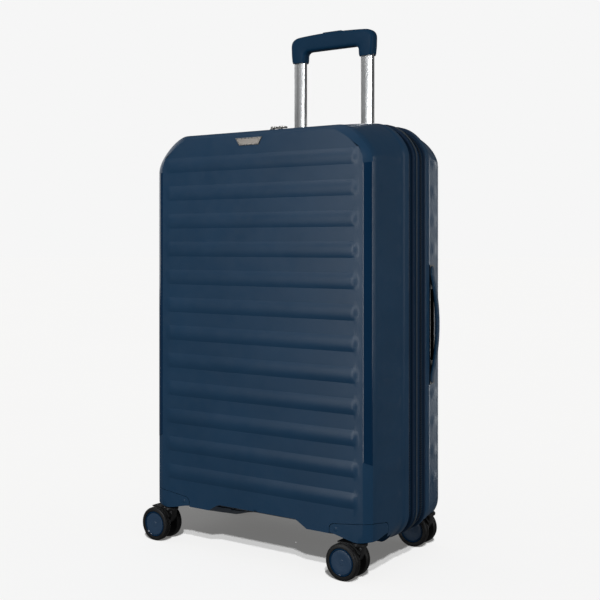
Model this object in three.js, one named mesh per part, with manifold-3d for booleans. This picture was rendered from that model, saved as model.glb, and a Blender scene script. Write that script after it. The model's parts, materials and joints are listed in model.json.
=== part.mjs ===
// Large hard-shell suitcase on four twin-wheel casters, with a telescoping handle.
//
// Millimetres, +Z up, floor at z = 0. Seen from the front (the badge side, which faces -Y) +X is to
// the right. The lid is the front half; it opens about a vertical hinge line on the -X side.

import * as THREE from 'three';
import { mergeVertices } from 'three/addons/utils/BufferGeometryUtils.js';
import Module from 'manifold-3d';

const wasm = await Module();
wasm.setup();

// ---------------------------------------------------------------- driving dimensions

const HALF_WIDTH = 231.5;          // shells, at the rim
const SHELL_LOW = 44;              // belly of the case above the floor
const SHELL_TOP = 746;
const WALL = 3;

// Corners of the outline: width, height, and how far the curve's control points lie from its ends.
const ARC = 0.5523;                // that share makes a quarter ellipse; less cuts the corner off
const UPPER_CORNER = { w: 58, h: 58, bend: 0.43 };
const LOWER_CORNER = { w: 44, h: 44, bend: ARC };
const FACE_UPPER_CORNER = { w: 62, h: 50, bend: 0.32 };
const FACE_LOWER_CORNER = { w: 34, h: 34, bend: ARC };
const BACK_CORNER = { w: 36, h: 36, bend: ARC };

const FRONT_Y = -136;              // front face of the lid
const LID_RIM_Y = -15;
const LID_ZIP_END_Y = -9;
const BAND_START_Y = -8.7;         // fabric band between the two zips
const EXPANSION_SPLIT_Y = 29.7;
const REAR_BAND_Y = 30;
const REAR_RIM_Y = 43.3;
const BACK_Y = 126;
const BAND_INSET = 1;
const BAND_THICKNESS = 3;

const LID_EDGE = { thickness: 18, size: 14 };    // rounding between the face and the sides
const LID_TOP_FALL = 7.5;         // the lid's top slopes down this far, from its rim to its face
const BACK_EDGE = { thickness: 26, size: 30, heightShare: 0.6 };
const TAPER = { y0: 50, y1: 100, inset: 8 };      // the rear half's sides lean in before their rounding
const ROUND_STEPS = 5;

const CASTER_X = 202;
const FRONT_CASTER_Y = -126;
const REAR_CASTER_Y = 107;
const WHEEL_R = 30;
const TRAIL = 22;                  // swivel axis to axle
const WHEEL_INNER_Y = 9;           // wheel faces, measured from the caster's middle
const WHEEL_OUTER_Y = 22;
const SWIVEL_ROOM = 61;            // recess around the swivel axis
const WHEEL_ROOM_Z = 64;
const HOUSING_X = 150;             // caster housings run from here to the corner
const HOUSING_LOW = 66;
const HOUSING_TOP = 92;
const HOUSING_FRONT_Y = -82;
const HOUSING_REAR_Y = 86;
const NECK_LOW = 62;

const TUBE_X = 75.9;
const TUBE_Y = 107.8;
const TUBE = { x: 29.5, y: 13, wall: 1.2 };
const OUTER_TUBE = { x: 36, y: 19.5, wall: 2.1 };
const GRIP_LOW = 891;
const GRIP_UNDERSIDE = 911;
const GRIP_TOP = 944;
const GRIP_HALF = 93;
const GRIP_DEPTH = 23;
const TUBE_LOW = 495;
const BEZEL_FLOOR = 702;
const FOOT_TOP = 97;

const HANDLE_REACH = 102;          // half length of the carry handles
const SIDE_HANDLE = { y: 69.5, z: 400.5, half: HANDLE_REACH, width: 19, rise: 12 };
const TOP_HANDLE = { x: 0, y: 66, half: 95, width: 20, rise: 8 };
const POCKET_DEPTH = 15;           // finger room sunk into the shell under a carry handle

const LOCK = { x0: -98, x1: -8, y0: -4.7, y1: 22, z0: 730, z1: 748.5 };
const ZIP_X = [-58, -40];          // the two sliders of the main zip, at rest
const EXPANSION_SLIDER_X = 120;

const GAP = 0.3;                   // kept between pieces that touch

// ---------------------------------------------------------------- materials

const paint = (color, roughness, metalness = 0) =>
  new THREE.MeshStandardMaterial({ color, roughness, metalness });
const SHELL_BLUE = paint(0x1f3347, 0.42);
const TRIM_BLUE = paint(0x0b2238, 0.2);
const HANDLE_BLUE = paint(0x14304a, 0.5);
const FABRIC_BLUE = paint(0x12222f, 0.9);
const BLACK_PLASTIC = paint(0x0d0d0f, 0.5);
const TYRE_BLACK = paint(0x101010, 0.8);
const CAP_BLUE = paint(0x1c3450, 0.35);
const ALUMINIUM = paint(0xc4c6c8, 0.28, 1);
const GUNMETAL = paint(0x8c8577, 0.35, 1);
const STEEL = paint(0x9a9a9a, 0.3, 1);
const LINING = paint(0x2b2f38, 0.95);

// ---------------------------------------------------------------- solids

function solid(geometry) {
  const bare = geometry.clone();
  bare.deleteAttribute('normal');
  bare.deleteAttribute('uv');
  const merged = mergeVertices(bare, 1e-4);
  return new wasm.Manifold(new wasm.Mesh({
    numProp: 3,
    vertProperties: new Float32Array(merged.attributes.position.array),
    triVerts: new Uint32Array(merged.index.array),
  }));
}

function box(x0, x1, y0, y1, z0, z1) {
  const geometry = new THREE.BoxGeometry(x1 - x0, y1 - y0, z1 - z0);
  geometry.translate((x0 + x1) / 2, (y0 + y1) / 2, (z0 + z1) / 2);
  return solid(geometry);
}

// A shape drawn in (x, z), swept from y0 to y1. The optional edge rounds both ends.
function sweepY(shape, y0, y1, edge = null, curveSegments = 6) {
  const rounded = edge ? { bevelEnabled: true, bevelThickness: edge.thickness, bevelSize: edge.size,
    bevelOffset: -edge.size, bevelSegments: 5 } : { bevelEnabled: false };
  const inset = edge ? edge.thickness : 0;
  const geometry = new THREE.ExtrudeGeometry(shape, {
    depth: y1 - y0 - 2 * inset, steps: 1, curveSegments, ...rounded });
  geometry.rotateX(Math.PI / 2);
  geometry.translate(0, y1 - inset, 0);
  return solid(geometry);
}

// A shape drawn in (x, y), swept from z0 to z1.
function sweepZ(shape, z0, z1, curveSegments = 6) {
  const geometry = new THREE.ExtrudeGeometry(shape, {
    depth: z1 - z0, steps: 1, curveSegments, bevelEnabled: false });
  geometry.translate(0, 0, z0);
  return solid(geometry);
}

// A shape drawn in (y, z), swept from x0 to x1.
function sweepX(shape, x0, x1) {
  const geometry = new THREE.ExtrudeGeometry(shape, {
    depth: x1 - x0, steps: 1, curveSegments: 8, bevelEnabled: false });
  geometry.rotateY(Math.PI / 2);
  geometry.rotateX(Math.PI / 2);
  geometry.translate(x0, 0, 0);
  return solid(geometry);
}

function polygon(points) {
  return new THREE.Shape(points.map(([x, y]) => new THREE.Vector2(x, y)));
}

function roundedRect(x0, x1, y0, y1, r) {
  const shape = new THREE.Shape();
  shape.moveTo(x0 + r, y0);
  shape.lineTo(x1 - r, y0);
  shape.absarc(x1 - r, y0 + r, r, -Math.PI / 2, 0, false);
  shape.absarc(x1 - r, y1 - r, r, 0, Math.PI / 2, false);
  shape.absarc(x0 + r, y1 - r, r, Math.PI / 2, Math.PI, false);
  shape.absarc(x0 + r, y0 + r, r, Math.PI, 1.5 * Math.PI, false);
  return shape;
}

// The case's outline in (x, z), moved in by insetX at the sides and insetZ above and below.
function caseOutline(insetX, insetZ = insetX, upper = UPPER_CORNER, lower = LOWER_CORNER) {
  const x = HALF_WIDTH - insetX;
  const low = SHELL_LOW + insetZ;
  const top = SHELL_TOP - insetZ;
  const shape = new THREE.Shape();
  const corner = (fromX, fromZ, cx, cz, toX, toZ, bend) => shape.bezierCurveTo(
    fromX + (cx - fromX) * bend, fromZ + (cz - fromZ) * bend,
    toX + (cx - toX) * bend, toZ + (cz - toZ) * bend, toX, toZ);
  shape.moveTo(-x + lower.w, low);
  shape.lineTo(x - lower.w, low);
  corner(x - lower.w, low, x, low, x, low + lower.h, lower.bend);
  shape.lineTo(x, top - upper.h);
  corner(x, top - upper.h, x, top, x - upper.w, top, upper.bend);
  shape.lineTo(-x + upper.w, top);
  corner(-x + upper.w, top, -x, top, -x, top - upper.h, upper.bend);
  shape.lineTo(-x, low + lower.h);
  corner(-x, low + lower.h, -x, low, -x + lower.w, low, lower.bend);
  return shape;
}

// A closed solid through outlines in (x, z), each at its own y, from front to back.
function loftY(sections) {
  const rings = sections.map(({ outline }) => outline.getPoints(6).slice(0, -1));
  const count = rings[0].length;
  const positions = rings.flatMap((ring, j) => ring.flatMap((p) => [p.x, sections[j].y, p.y]));
  const last = rings.length - 1;
  const middle = (SHELL_LOW + SHELL_TOP) / 2;
  positions.push(0, sections[0].y, middle, 0, sections[last].y, middle);
  const frontCentre = rings.length * count;
  const index = [];
  for (let i = 0; i < count; i++) {
    const next = (i + 1) % count;
    for (let j = 0; j < last; j++) {
      const [a, b, c, d] = [j * count + i, j * count + next, (j + 1) * count + next, (j + 1) * count + i];
      index.push(a, c, b, a, d, c);
    }
    index.push(frontCentre, i, next, frontCentre + 1, last * count + next, last * count + i);
  }
  const geometry = new THREE.BufferGeometry();
  geometry.setAttribute('position', new THREE.BufferAttribute(new Float32Array(positions), 3));
  geometry.setIndex(index);
  return solid(geometry);
}

// A band that follows the outline, between two insets.
function ring(insetOuter, insetInner, y0, y1) {
  return sweepY(caseOutline(insetOuter), y0, y1)
    .subtract(sweepY(caseOutline(insetInner), y0 - 1, y1 + 1));
}

// A turned piece about a line along Y through (x, z): profile points are [radius, y].
function turnedY(profile, x, y, z, sides = 24) {
  const points = profile.map(([r, along]) => new THREE.Vector2(r, along));
  const geometry = new THREE.LatheGeometry(points, sides, Math.PI / sides);
  geometry.translate(x, y, z);
  return solid(geometry);
}

// The same about a vertical line through (x, y): profile points are [radius, z].
function turnedZ(profile, x, y, sides = 16) {
  const points = profile.map(([r, along]) => new THREE.Vector2(r, along));
  const geometry = new THREE.LatheGeometry(points, sides);
  geometry.rotateX(Math.PI / 2);
  geometry.translate(x, y, 0);
  return solid(geometry);
}

const suitcase = new THREE.Group();

function add(name, shape, material) {
  const { vertProperties, triVerts } = shape.getMesh();
  const geometry = new THREE.BufferGeometry();
  geometry.setAttribute('position', new THREE.BufferAttribute(new Float32Array(vertProperties), 3));
  geometry.setIndex(new THREE.BufferAttribute(new Uint32Array(triVerts), 1));
  geometry.computeVertexNormals();
  const mesh = new THREE.Mesh(geometry, material);
  mesh.name = name;
  suitcase.add(mesh);
}

// ---------------------------------------------------------------- the two shells

const FAR = 400;

// Room that the shell leaves at each lower corner for a housing and its wheels. side is -1 or 1 in
// x; grow moves every wall of the room outwards, which gives the shell its thickness there.
function cornerRoom(side, front, grow) {
  const axisY = front ? FRONT_CASTER_Y : REAR_CASTER_Y;
  const roomY = front ? axisY + SWIVEL_ROOM : axisY - SWIVEL_ROOM + 3;
  const housingY = front ? HOUSING_FRONT_Y : HOUSING_REAR_Y;
  const place = (x, y, z) => {
    const ys = front ? [-FAR, y + grow] : [y - grow, FAR];
    const xs = side > 0 ? [x - grow, FAR] : [-FAR, -x + grow];
    return box(...xs, ...ys, -1, z + grow);
  };
  return place(CASTER_X - SWIVEL_ROOM, roomY, WHEEL_ROOM_Z).add(place(HOUSING_X, housingY, HOUSING_TOP));
}

// The lid's underside climbs towards the front, and is arched between the two feet.
function lidUndercut(grow) {
  const slope = sweepX(polygon([[-50, -1], [-50, SHELL_LOW + grow], [-140, 71 + grow], [-140, -1]]),
    -FAR, FAR);
  const arch = sweepX(polygon([[-20, -1], [-20, SHELL_LOW + grow], [-140, 84 + grow], [-140, -1]]),
    -98 - grow, 92 + grow);
  return slope.add(arch);
}

const mixCorner = (a, b, t) => ({
  w: THREE.MathUtils.lerp(a.w, b.w, t), h: THREE.MathUtils.lerp(a.h, b.h, t),
  bend: THREE.MathUtils.lerp(a.bend, b.bend, t) });

// Sections of the lid, moved in by wall all over. share is 1 on the face and 0 on the sides.
function lidSections(wall) {
  const sections = [];
  for (let i = ROUND_STEPS; i >= 0; i--) {
    const angle = (i / ROUND_STEPS) * Math.PI / 2;
    const share = 1 - Math.cos(angle);
    const round = (LID_EDGE.size - wall) * share;
    sections.push({ y: FRONT_Y + LID_EDGE.thickness - (LID_EDGE.thickness - wall) * Math.sin(angle),
      outline: caseOutline(wall + round, wall + round + LID_TOP_FALL * (1 - share),
        mixCorner(UPPER_CORNER, FACE_UPPER_CORNER, share), mixCorner(LOWER_CORNER, FACE_LOWER_CORNER, share)) });
  }
  sections.push({ y: LID_RIM_Y + Math.sign(wall), outline: caseOutline(wall) });
  return sections;
}

// The same for the rear half: straight, then tapered at the sides, then rounded into the back.
function rearSections(wall) {
  const sections = [
    { y: REAR_RIM_Y - Math.sign(wall), outline: caseOutline(wall) },
    { y: TAPER.y0, outline: caseOutline(wall) }];
  for (let i = 0; i <= ROUND_STEPS; i++) {
    const angle = (i / ROUND_STEPS) * Math.PI / 2;
    const share = 1 - Math.cos(angle);
    const round = (BACK_EDGE.size - wall) * share;
    sections.push({ y: BACK_Y - BACK_EDGE.thickness + (BACK_EDGE.thickness - wall) * Math.sin(angle),
      outline: caseOutline(wall + TAPER.inset + round, wall + round * BACK_EDGE.heightShare,
        mixCorner(UPPER_CORNER, BACK_CORNER, share), mixCorner(LOWER_CORNER, BACK_CORNER, share)) });
  }
  return sections;
}

function hollowedShell(sections, cuts) {
  const outer = loftY(sections(0));
  const body = cuts.reduce((shape, cut) => shape.subtract(cut(0)), outer);
  const cavity = cuts.reduce((shape, cut) => shape.subtract(cut(WALL)), loftY(sections(WALL)));
  return { outer, shell: body.subtract(cavity) };
}

const frontCuts = [
  (grow) => cornerRoom(1, true, grow),
  (grow) => cornerRoom(-1, true, grow),
  lidUndercut,
];
const rearCuts = [
  (grow) => cornerRoom(1, false, grow),
  (grow) => cornerRoom(-1, false, grow),
];
const lidParts = hollowedShell(lidSections, frontCuts);
const rearParts = hollowedShell(rearSections, rearCuts);

add('front_shell', lidParts.shell, SHELL_BLUE);

const BEZEL = { x: 112, y0: 88, y1: 127, z0: BEZEL_FLOOR - 4 };
const SIDE_BLOCK = { depth: POCKET_DEPTH + 2, y: 10, z: 100 };
const TOP_BLOCK = { z0: SHELL_TOP - POCKET_DEPTH - 2, x: 93, y: 10.5 };

// The side handle sits square on the tapered side. Local z points out of the case, local x down.
const SIDE_TILT = Math.atan(TAPER.inset / (TAPER.y1 - TAPER.y0));
const sideSurfaceX = HALF_WIDTH - (SIDE_HANDLE.y - TAPER.y0) * Math.tan(SIDE_TILT);
const turnToSide = (shape, lift) => shape.translate([0, 0, lift]).rotate([0, 90, 0])
  .rotate([0, 0, THREE.MathUtils.radToDeg(SIDE_TILT)]).translate([sideSurfaceX, SIDE_HANDLE.y, SIDE_HANDLE.z]);
const turnToTop = (shape, lift) => shape.translate([TOP_HANDLE.x, TOP_HANDLE.y, SHELL_TOP + lift]);

const sideRoom = box(-SIDE_BLOCK.z - GAP, SIDE_BLOCK.z + GAP, -SIDE_BLOCK.y - GAP, SIDE_BLOCK.y + GAP,
  -SIDE_BLOCK.depth, 20);
const rearShell = rearParts.shell
  .subtract(box(-BEZEL.x - GAP, BEZEL.x + GAP, BEZEL.y0 - GAP, BEZEL.y1 + GAP, BEZEL.z0, SHELL_TOP + 1))
  .subtract(turnToSide(sideRoom, 0))
  .subtract(box(-TOP_BLOCK.x - GAP, TOP_BLOCK.x + GAP, TOP_HANDLE.y - TOP_BLOCK.y - GAP,
    TOP_HANDLE.y + TOP_BLOCK.y + GAP, TOP_BLOCK.z0, SHELL_TOP + 1));
add('rear_shell', rearShell, SHELL_BLUE);

// Glossy strips along the lid's two upright front corners.
function cornerStrip(mirror) {
  const cx = HALF_WIDTH - LID_EDGE.size;
  const cy = FRONT_Y + LID_EDGE.thickness;
  const arc = (lift) => Array.from({ length: 7 }, (_, i) => {
    const a = THREE.MathUtils.degToRad(90 - i * 9);
    return [mirror * (cx + (LID_EDGE.size + lift) * Math.cos(a)),
      cy - (LID_EDGE.thickness + lift) * Math.sin(a)];
  });
  const outline = [...arc(1.2), ...arc(GAP).reverse()];
  return sweepZ(polygon(outline), 188, 672);
}
add('corner_strip_right', cornerStrip(1), TRIM_BLUE);
add('corner_strip_left', cornerStrip(-1), TRIM_BLUE);

const badge = polygon([[-44, 724], [-36, 711], [5, 711], [14, 724]]);
add('badge', sweepY(badge, FRONT_Y - 1.5, FRONT_Y - GAP), GUNMETAL);

// Flat lining pocket lying against the inside of the lid's face.
add('lid_pocket', box(-200, 200, FRONT_Y + WALL + GAP, FRONT_Y + WALL + 3, 130, 600), LINING);

// ---------------------------------------------------------------- zips and fabric band

const BAND_INNER = BAND_INSET + BAND_THICKNESS;
add('lid_zip', ring(BAND_INSET + 1, BAND_INNER + 1, LID_RIM_Y + GAP, LID_ZIP_END_Y), FABRIC_BLUE);

const lockRoom = box(LOCK.x0 - GAP, LOCK.x1 + GAP, LOCK.y0 - GAP, LOCK.y1 + GAP, LOCK.z0 - 2, SHELL_TOP + 1);
add('front_band', ring(BAND_INSET, BAND_INNER, BAND_START_Y, EXPANSION_SPLIT_Y).subtract(lockRoom),
  FABRIC_BLUE);
add('rear_band', ring(BAND_INSET, BAND_INNER, REAR_BAND_Y, REAR_RIM_Y - GAP), FABRIC_BLUE);
add('expansion_gusset', ring(BAND_INNER + GAP, BAND_INNER + 2, 24, 36), FABRIC_BLUE);

const zipTop = SHELL_TOP - BAND_INSET;
const ZIP_Y = -9.2;

function zipSlider(x, y) {
  const body = box(x - 6, x + 6, y - 4.2, y + 4.2, zipTop + GAP, zipTop + 5.5);
  const crown = sweepY(polygon([[x - 4, zipTop + 5], [x + 4, zipTop + 5], [x + 2.2, zipTop + 9.2],
    [x - 2.2, zipTop + 9.2]]), y - 3, y + 3);
  return body.add(crown);
}

function zipPull(x, y) {
  const plate = roundedRect(x - 6.2, x + 6.2, y, y + 17, 5);
  plate.holes.push(roundedRect(x - 2.4, x + 2.4, y + 9, y + 14, 2.2));
  return sweepZ(plate, zipTop + 9.7, zipTop + 12.4, 3);
}

ZIP_X.forEach((x, i) => {
  const which = i === 0 ? 'left' : 'right';
  add(`zip_slider_${which}`, zipSlider(x, ZIP_Y), GUNMETAL);
  add(`zip_pull_${which}`, zipPull(x, ZIP_Y), GUNMETAL);
});
const expansionPull = box(EXPANSION_SLIDER_X - 3, EXPANSION_SLIDER_X + 3, 30, 44, zipTop + 3.4, zipTop + 5.2);
add('expansion_zip_slider', box(EXPANSION_SLIDER_X - 5, EXPANSION_SLIDER_X + 5, 26.5, 33.5,
  zipTop + GAP, zipTop + 4).add(expansionPull), GUNMETAL);

// ---------------------------------------------------------------- combination lock

const DIAL_X = [-33, -24, -15];
const DIAL = { y: 10, z: LOCK.z1 - 7.2, r: 8, half: 2.6 };
const BUTTON = { x0: -92, x1: -74, y0: 4, y1: 16 };

let lockBody = box(LOCK.x0, LOCK.x1, LOCK.y0, LOCK.y1, LOCK.z0, LOCK.z1);
for (const x of DIAL_X) {
  lockBody = lockBody.subtract(box(x - DIAL.half - 0.4, x + DIAL.half + 0.4, DIAL.y - 9, DIAL.y + 9,
    DIAL.z - 9, LOCK.z1 + 1));
}
for (const x of ZIP_X) {
  lockBody = lockBody.subtract(box(x - 3, x + 3, 3, 9, LOCK.z1 - 6, LOCK.z1 + 1));
}
lockBody = lockBody.subtract(box(BUTTON.x0 - 0.4, BUTTON.x1 + 0.4, BUTTON.y0 - 0.4, BUTTON.y1 + 0.4,
  LOCK.z1 - 8, LOCK.z1 + 1));
add('lock_housing', lockBody, BLACK_PLASTIC);

DIAL_X.forEach((x, i) => {
  const dial = new THREE.CylinderGeometry(DIAL.r, DIAL.r, 2 * DIAL.half, 20);
  dial.rotateZ(Math.PI / 2);
  dial.translate(x, DIAL.y, DIAL.z);
  add(`lock_dial_${i + 1}`, solid(dial), GUNMETAL);
});
add('lock_button', box(BUTTON.x0, BUTTON.x1, BUTTON.y0, BUTTON.y1, LOCK.z1 - 4, LOCK.z1 + 1.5), GUNMETAL);

// ---------------------------------------------------------------- telescoping handle

const rectAround = (cx, cy, w, d, r) => roundedRect(cx - w / 2, cx + w / 2, cy - d / 2, cy + d / 2, r);

function tube(x, size, z0, z1) {
  const outline = rectAround(x, TUBE_Y, size.x, size.y, size.y * 0.36);
  outline.holes.push(rectAround(x, TUBE_Y, size.x - 2 * size.wall, size.y - 2 * size.wall,
    size.y * 0.36 - size.wall));
  return sweepZ(outline, z0, z1, 3);
}

for (const [label, x] of [['left', -TUBE_X], ['right', TUBE_X]]) {
  add(`inner_tube_${label}`, tube(x, TUBE, TUBE_LOW, GRIP_LOW + 12), ALUMINIUM);
  add(`outer_tube_${label}`, tube(x, OUTER_TUBE, FOOT_TOP + GAP, BEZEL.z0 - GAP), ALUMINIUM);
}

// The grip is a bridge: a crowned bar with two legs that sleeve over the inner tubes.
function grip() {
  const outline = new THREE.Shape();
  outline.moveTo(-GRIP_HALF + 2, GRIP_LOW);
  outline.lineTo(-GRIP_HALF, GRIP_TOP - 22);
  outline.quadraticCurveTo(-GRIP_HALF, GRIP_TOP - 2, -GRIP_HALF + 18, GRIP_TOP - 1);
  outline.quadraticCurveTo(0, GRIP_TOP + 1, GRIP_HALF - 18, GRIP_TOP - 1);
  outline.quadraticCurveTo(GRIP_HALF, GRIP_TOP - 2, GRIP_HALF, GRIP_TOP - 22);
  outline.lineTo(GRIP_HALF - 2, GRIP_LOW);
  outline.lineTo(TUBE_X - 15.4, GRIP_LOW);
  outline.lineTo(TUBE_X - 16, GRIP_UNDERSIDE - 9);
  outline.quadraticCurveTo(TUBE_X - 17, GRIP_UNDERSIDE, TUBE_X - 26, GRIP_UNDERSIDE);
  outline.lineTo(-TUBE_X + 26, GRIP_UNDERSIDE);
  outline.quadraticCurveTo(-TUBE_X + 17, GRIP_UNDERSIDE, -TUBE_X + 16, GRIP_UNDERSIDE - 9);
  outline.lineTo(-TUBE_X + 15.4, GRIP_LOW);
  const y0 = TUBE_Y - GRIP_DEPTH / 2;
  let body = sweepY(outline, y0, y0 + GRIP_DEPTH, { thickness: 4, size: 3 }, 5);
  for (const x of [-TUBE_X, TUBE_X]) {
    const bore = rectAround(x, TUBE_Y, TUBE.x + 2 * GAP, TUBE.y + 2 * GAP, TUBE.y * 0.36);
    body = body.subtract(sweepZ(bore, GRIP_LOW - 1, GRIP_LOW + 12 + GAP, 3));
  }
  return body.subtract(box(-21.5, 21.5, TUBE_Y - 6.5, TUBE_Y + 6.5, GRIP_TOP - 12, GRIP_TOP + 2));
}
add('handle_grip', grip(), HANDLE_BLUE);
const gripButton = sweepZ(rectAround(0, TUBE_Y, 42, 12, 5), GRIP_TOP - 7, GRIP_TOP + 1);
add('grip_button', gripButton, BLACK_PLASTIC);

// Tray in the top of the rear shell that the grip sinks into.
function bezel() {
  let tray = rearParts.outer.intersect(box(-BEZEL.x, BEZEL.x, BEZEL.y0, BEZEL.y1, BEZEL.z0, SHELL_TOP + 1));
  tray = tray.subtract(box(-GRIP_HALF - 4, GRIP_HALF + 4, TUBE_Y - GRIP_DEPTH / 2 - 2.5,
    TUBE_Y + GRIP_DEPTH / 2 + 2.5, BEZEL_FLOOR, SHELL_TOP + 2));
  for (const x of [-TUBE_X, TUBE_X]) {
    tray = tray.subtract(sweepZ(rectAround(x, TUBE_Y, TUBE.x + 1.2, TUBE.y + 1.2, TUBE.y * 0.36),
      BEZEL.z0 - 1, BEZEL_FLOOR + 1, 3));
  }
  return tray;
}
add('handle_bezel', bezel(), HANDLE_BLUE);
add('handle_foot', box(-100, 100, TUBE_Y - 12, TUBE_Y + 12, 62, FOOT_TOP), BLACK_PLASTIC);

// ---------------------------------------------------------------- carry handles

// A carry handle is drawn lying along x with its back at z = 0: a bowed strap on two posts.
function carryHandle({ half, width, rise }) {
  const strap = 4.5;
  const pad = 30;
  const outline = new THREE.Shape();
  outline.moveTo(-half, 0);
  outline.lineTo(-half + pad, 0);
  outline.quadraticCurveTo(0, 2 * (rise - strap), half - pad, 0);
  outline.lineTo(half, 0);
  outline.lineTo(half, strap - 1.5);
  outline.quadraticCurveTo(0, 2 * rise - strap + 1.5, -half, strap - 1.5);
  const bar = sweepY(outline, -width / 2, width / 2);
  const posts = [-1, 1].map((s) => box(s * (half - 16) - 5, s * (half - 16) + 5, -5, 5, -11, 1));
  return bar.add(posts[0]).add(posts[1]);
}

// Its base: a block sunk into the shell with a finger pocket and two post holes, under a thin rim.
function carryBase({ half, width }, blockHalf, blockWidth) {
  const depth = POCKET_DEPTH + 1.5;
  const room = half - 40;
  return box(-blockHalf, blockHalf, -blockWidth, blockWidth, -depth, 0)
    .add(box(-half - 2, half + 2, -width / 2 - 2.5, width / 2 + 2.5, 0, 1.6))
    .subtract(box(-room, room, -width / 2 + 0.5, width / 2 - 0.5, -depth + 1.6, 3))
    .subtract(box(half - 16 - 5.4, half - 16 + 5.4, -5.4, 5.4, -12, 3))
    .subtract(box(-half + 16 - 5.4, -half + 16 + 5.4, -5.4, 5.4, -12, 3));
}

add('side_handle_base', turnToSide(carryBase(SIDE_HANDLE, 99.5, 9.7), GAP), BLACK_PLASTIC);
add('side_handle', turnToSide(carryHandle(SIDE_HANDLE), 1.6 + 2 * GAP), HANDLE_BLUE);
add('top_handle_base', turnToTop(carryBase(TOP_HANDLE, 92.5, 10.2), GAP), BLACK_PLASTIC);
add('top_handle', turnToTop(carryHandle(TOP_HANDLE), 1.6 + 2 * GAP), HANDLE_BLUE);

// ---------------------------------------------------------------- casters

// outer, the shell's own solid, rounds the housing's outside to match the shell above it.
function casterHousing(outer, x, y, front) {
  const xs = x > 0 ? [HOUSING_X + GAP, HALF_WIDTH + 1] : [-HALF_WIDTH - 1, -HOUSING_X - GAP];
  const ys = front ? [FRONT_Y - 1, HOUSING_FRONT_Y - GAP] : [HOUSING_REAR_Y + GAP, BACK_Y + 1];
  const block = outer.intersect(box(...xs, ...ys, HOUSING_LOW, HOUSING_TOP - GAP));
  const neck = turnedZ([[0, NECK_LOW], [8.5, NECK_LOW], [13, HOUSING_LOW + 1], [0, HOUSING_LOW + 1]], x, y);
  const bore = turnedZ([[0, NECK_LOW - 1], [5.3, NECK_LOW - 1], [5.3, 84], [0, 84]], x, y);
  return block.add(neck).subtract(bore);
}

function casterFork(x, y) {
  const axle = x - TRAIL;
  const outline = new THREE.Shape();
  outline.moveTo(x + 9, NECK_LOW - 0.6);
  outline.lineTo(x - 9, NECK_LOW - 0.6);
  outline.quadraticCurveTo(axle - 10, NECK_LOW - 3, axle - 12, WHEEL_R + 4);
  outline.absarc(axle, WHEEL_R, 11, Math.PI, 1.75 * Math.PI, false);
  outline.quadraticCurveTo(x + 7, WHEEL_R + 8, x + 9, NECK_LOW - 0.6);
  const web = sweepY(outline, y - 7.6, y + 7.6);
  const stem = turnedZ([[0, 60], [4.8, 60], [4.8, 82], [0, 82]], x, y);
  const bore = turnedY([[0, -9], [2.9, -9], [2.9, 9], [0, 9]], axle, y, WHEEL_R, 12);
  return web.add(stem).subtract(bore);
}

// Wheels are turned with flats: the radius is the distance to a flat, so a flat meets the floor.
function wheel(x, y, face) {
  const flatR = WHEEL_R / Math.cos(Math.PI / 24);
  const profile = [[3.1, WHEEL_INNER_Y], [flatR - 2, WHEEL_INNER_Y], [flatR, WHEEL_INNER_Y + 2.5],
    [flatR, WHEEL_OUTER_Y - 2.5], [flatR - 2, WHEEL_OUTER_Y], [22.8, WHEEL_OUTER_Y], [22.8, 19.4],
    [3.1, 19.4], [3.1, WHEEL_INNER_Y]];
  return faced(profile, x, y, face);
}

function hubCap(x, y, face) {
  return faced([[0, 19.7], [22.3, 19.7], [22.3, 21.6], [21, WHEEL_OUTER_Y + 0.2], [0, WHEEL_OUTER_Y + 0.2]],
    x, y, face);
}

function faced(profile, x, y, face) {
  const points = face > 0 ? profile : profile.map(([r, along]) => [r, -along]).reverse();
  return turnedY(points, x - TRAIL, y, WHEEL_R);
}

function caster(label, x, y, outer, front) {
  add(`caster_housing_${label}`, casterHousing(outer, x, y, front), SHELL_BLUE);
  add(`caster_fork_${label}`, casterFork(x, y), BLACK_PLASTIC);
  add(`caster_axle_${label}`, turnedY([[0, -19.2], [2.6, -19.2], [2.6, 19.2], [0, 19.2]],
    x - TRAIL, y, WHEEL_R, 12), STEEL);
  for (const [end, face] of [['front', -1], ['back', 1]]) {
    add(`wheel_${label}_${end}`, wheel(x, y, face), TYRE_BLACK);
    add(`hub_cap_${label}_${end}`, hubCap(x, y, face), CAP_BLUE);
  }
}

caster('fl', -CASTER_X, FRONT_CASTER_Y, lidParts.outer, true);
caster('fr', CASTER_X, FRONT_CASTER_Y, lidParts.outer, true);
caster('rl', -CASTER_X, REAR_CASTER_Y, rearParts.outer, false);
caster('rr', CASTER_X, REAR_CASTER_Y, rearParts.outer, false);

// ---------------------------------------------------------------- frame

// The origin is the middle of the whole object's footprint, on the floor.
const bounds = new THREE.Box3().setFromObject(suitcase);
const middle = bounds.getCenter(new THREE.Vector3());
suitcase.position.set(-middle.x, -middle.y, 0);

export default suitcase;
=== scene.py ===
"""The looks of a large hard-shell suitcase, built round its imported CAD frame.

Shapes are drawn in millimetres: x from the case's middle plane (+X is the side with the carry
handle), y and z in the row frame. add_piece() turns them into metres in the row frame.
"""
import json
import math

import bmesh
import bpy
import numpy as np
from mathutils import Matrix, Vector


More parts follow.
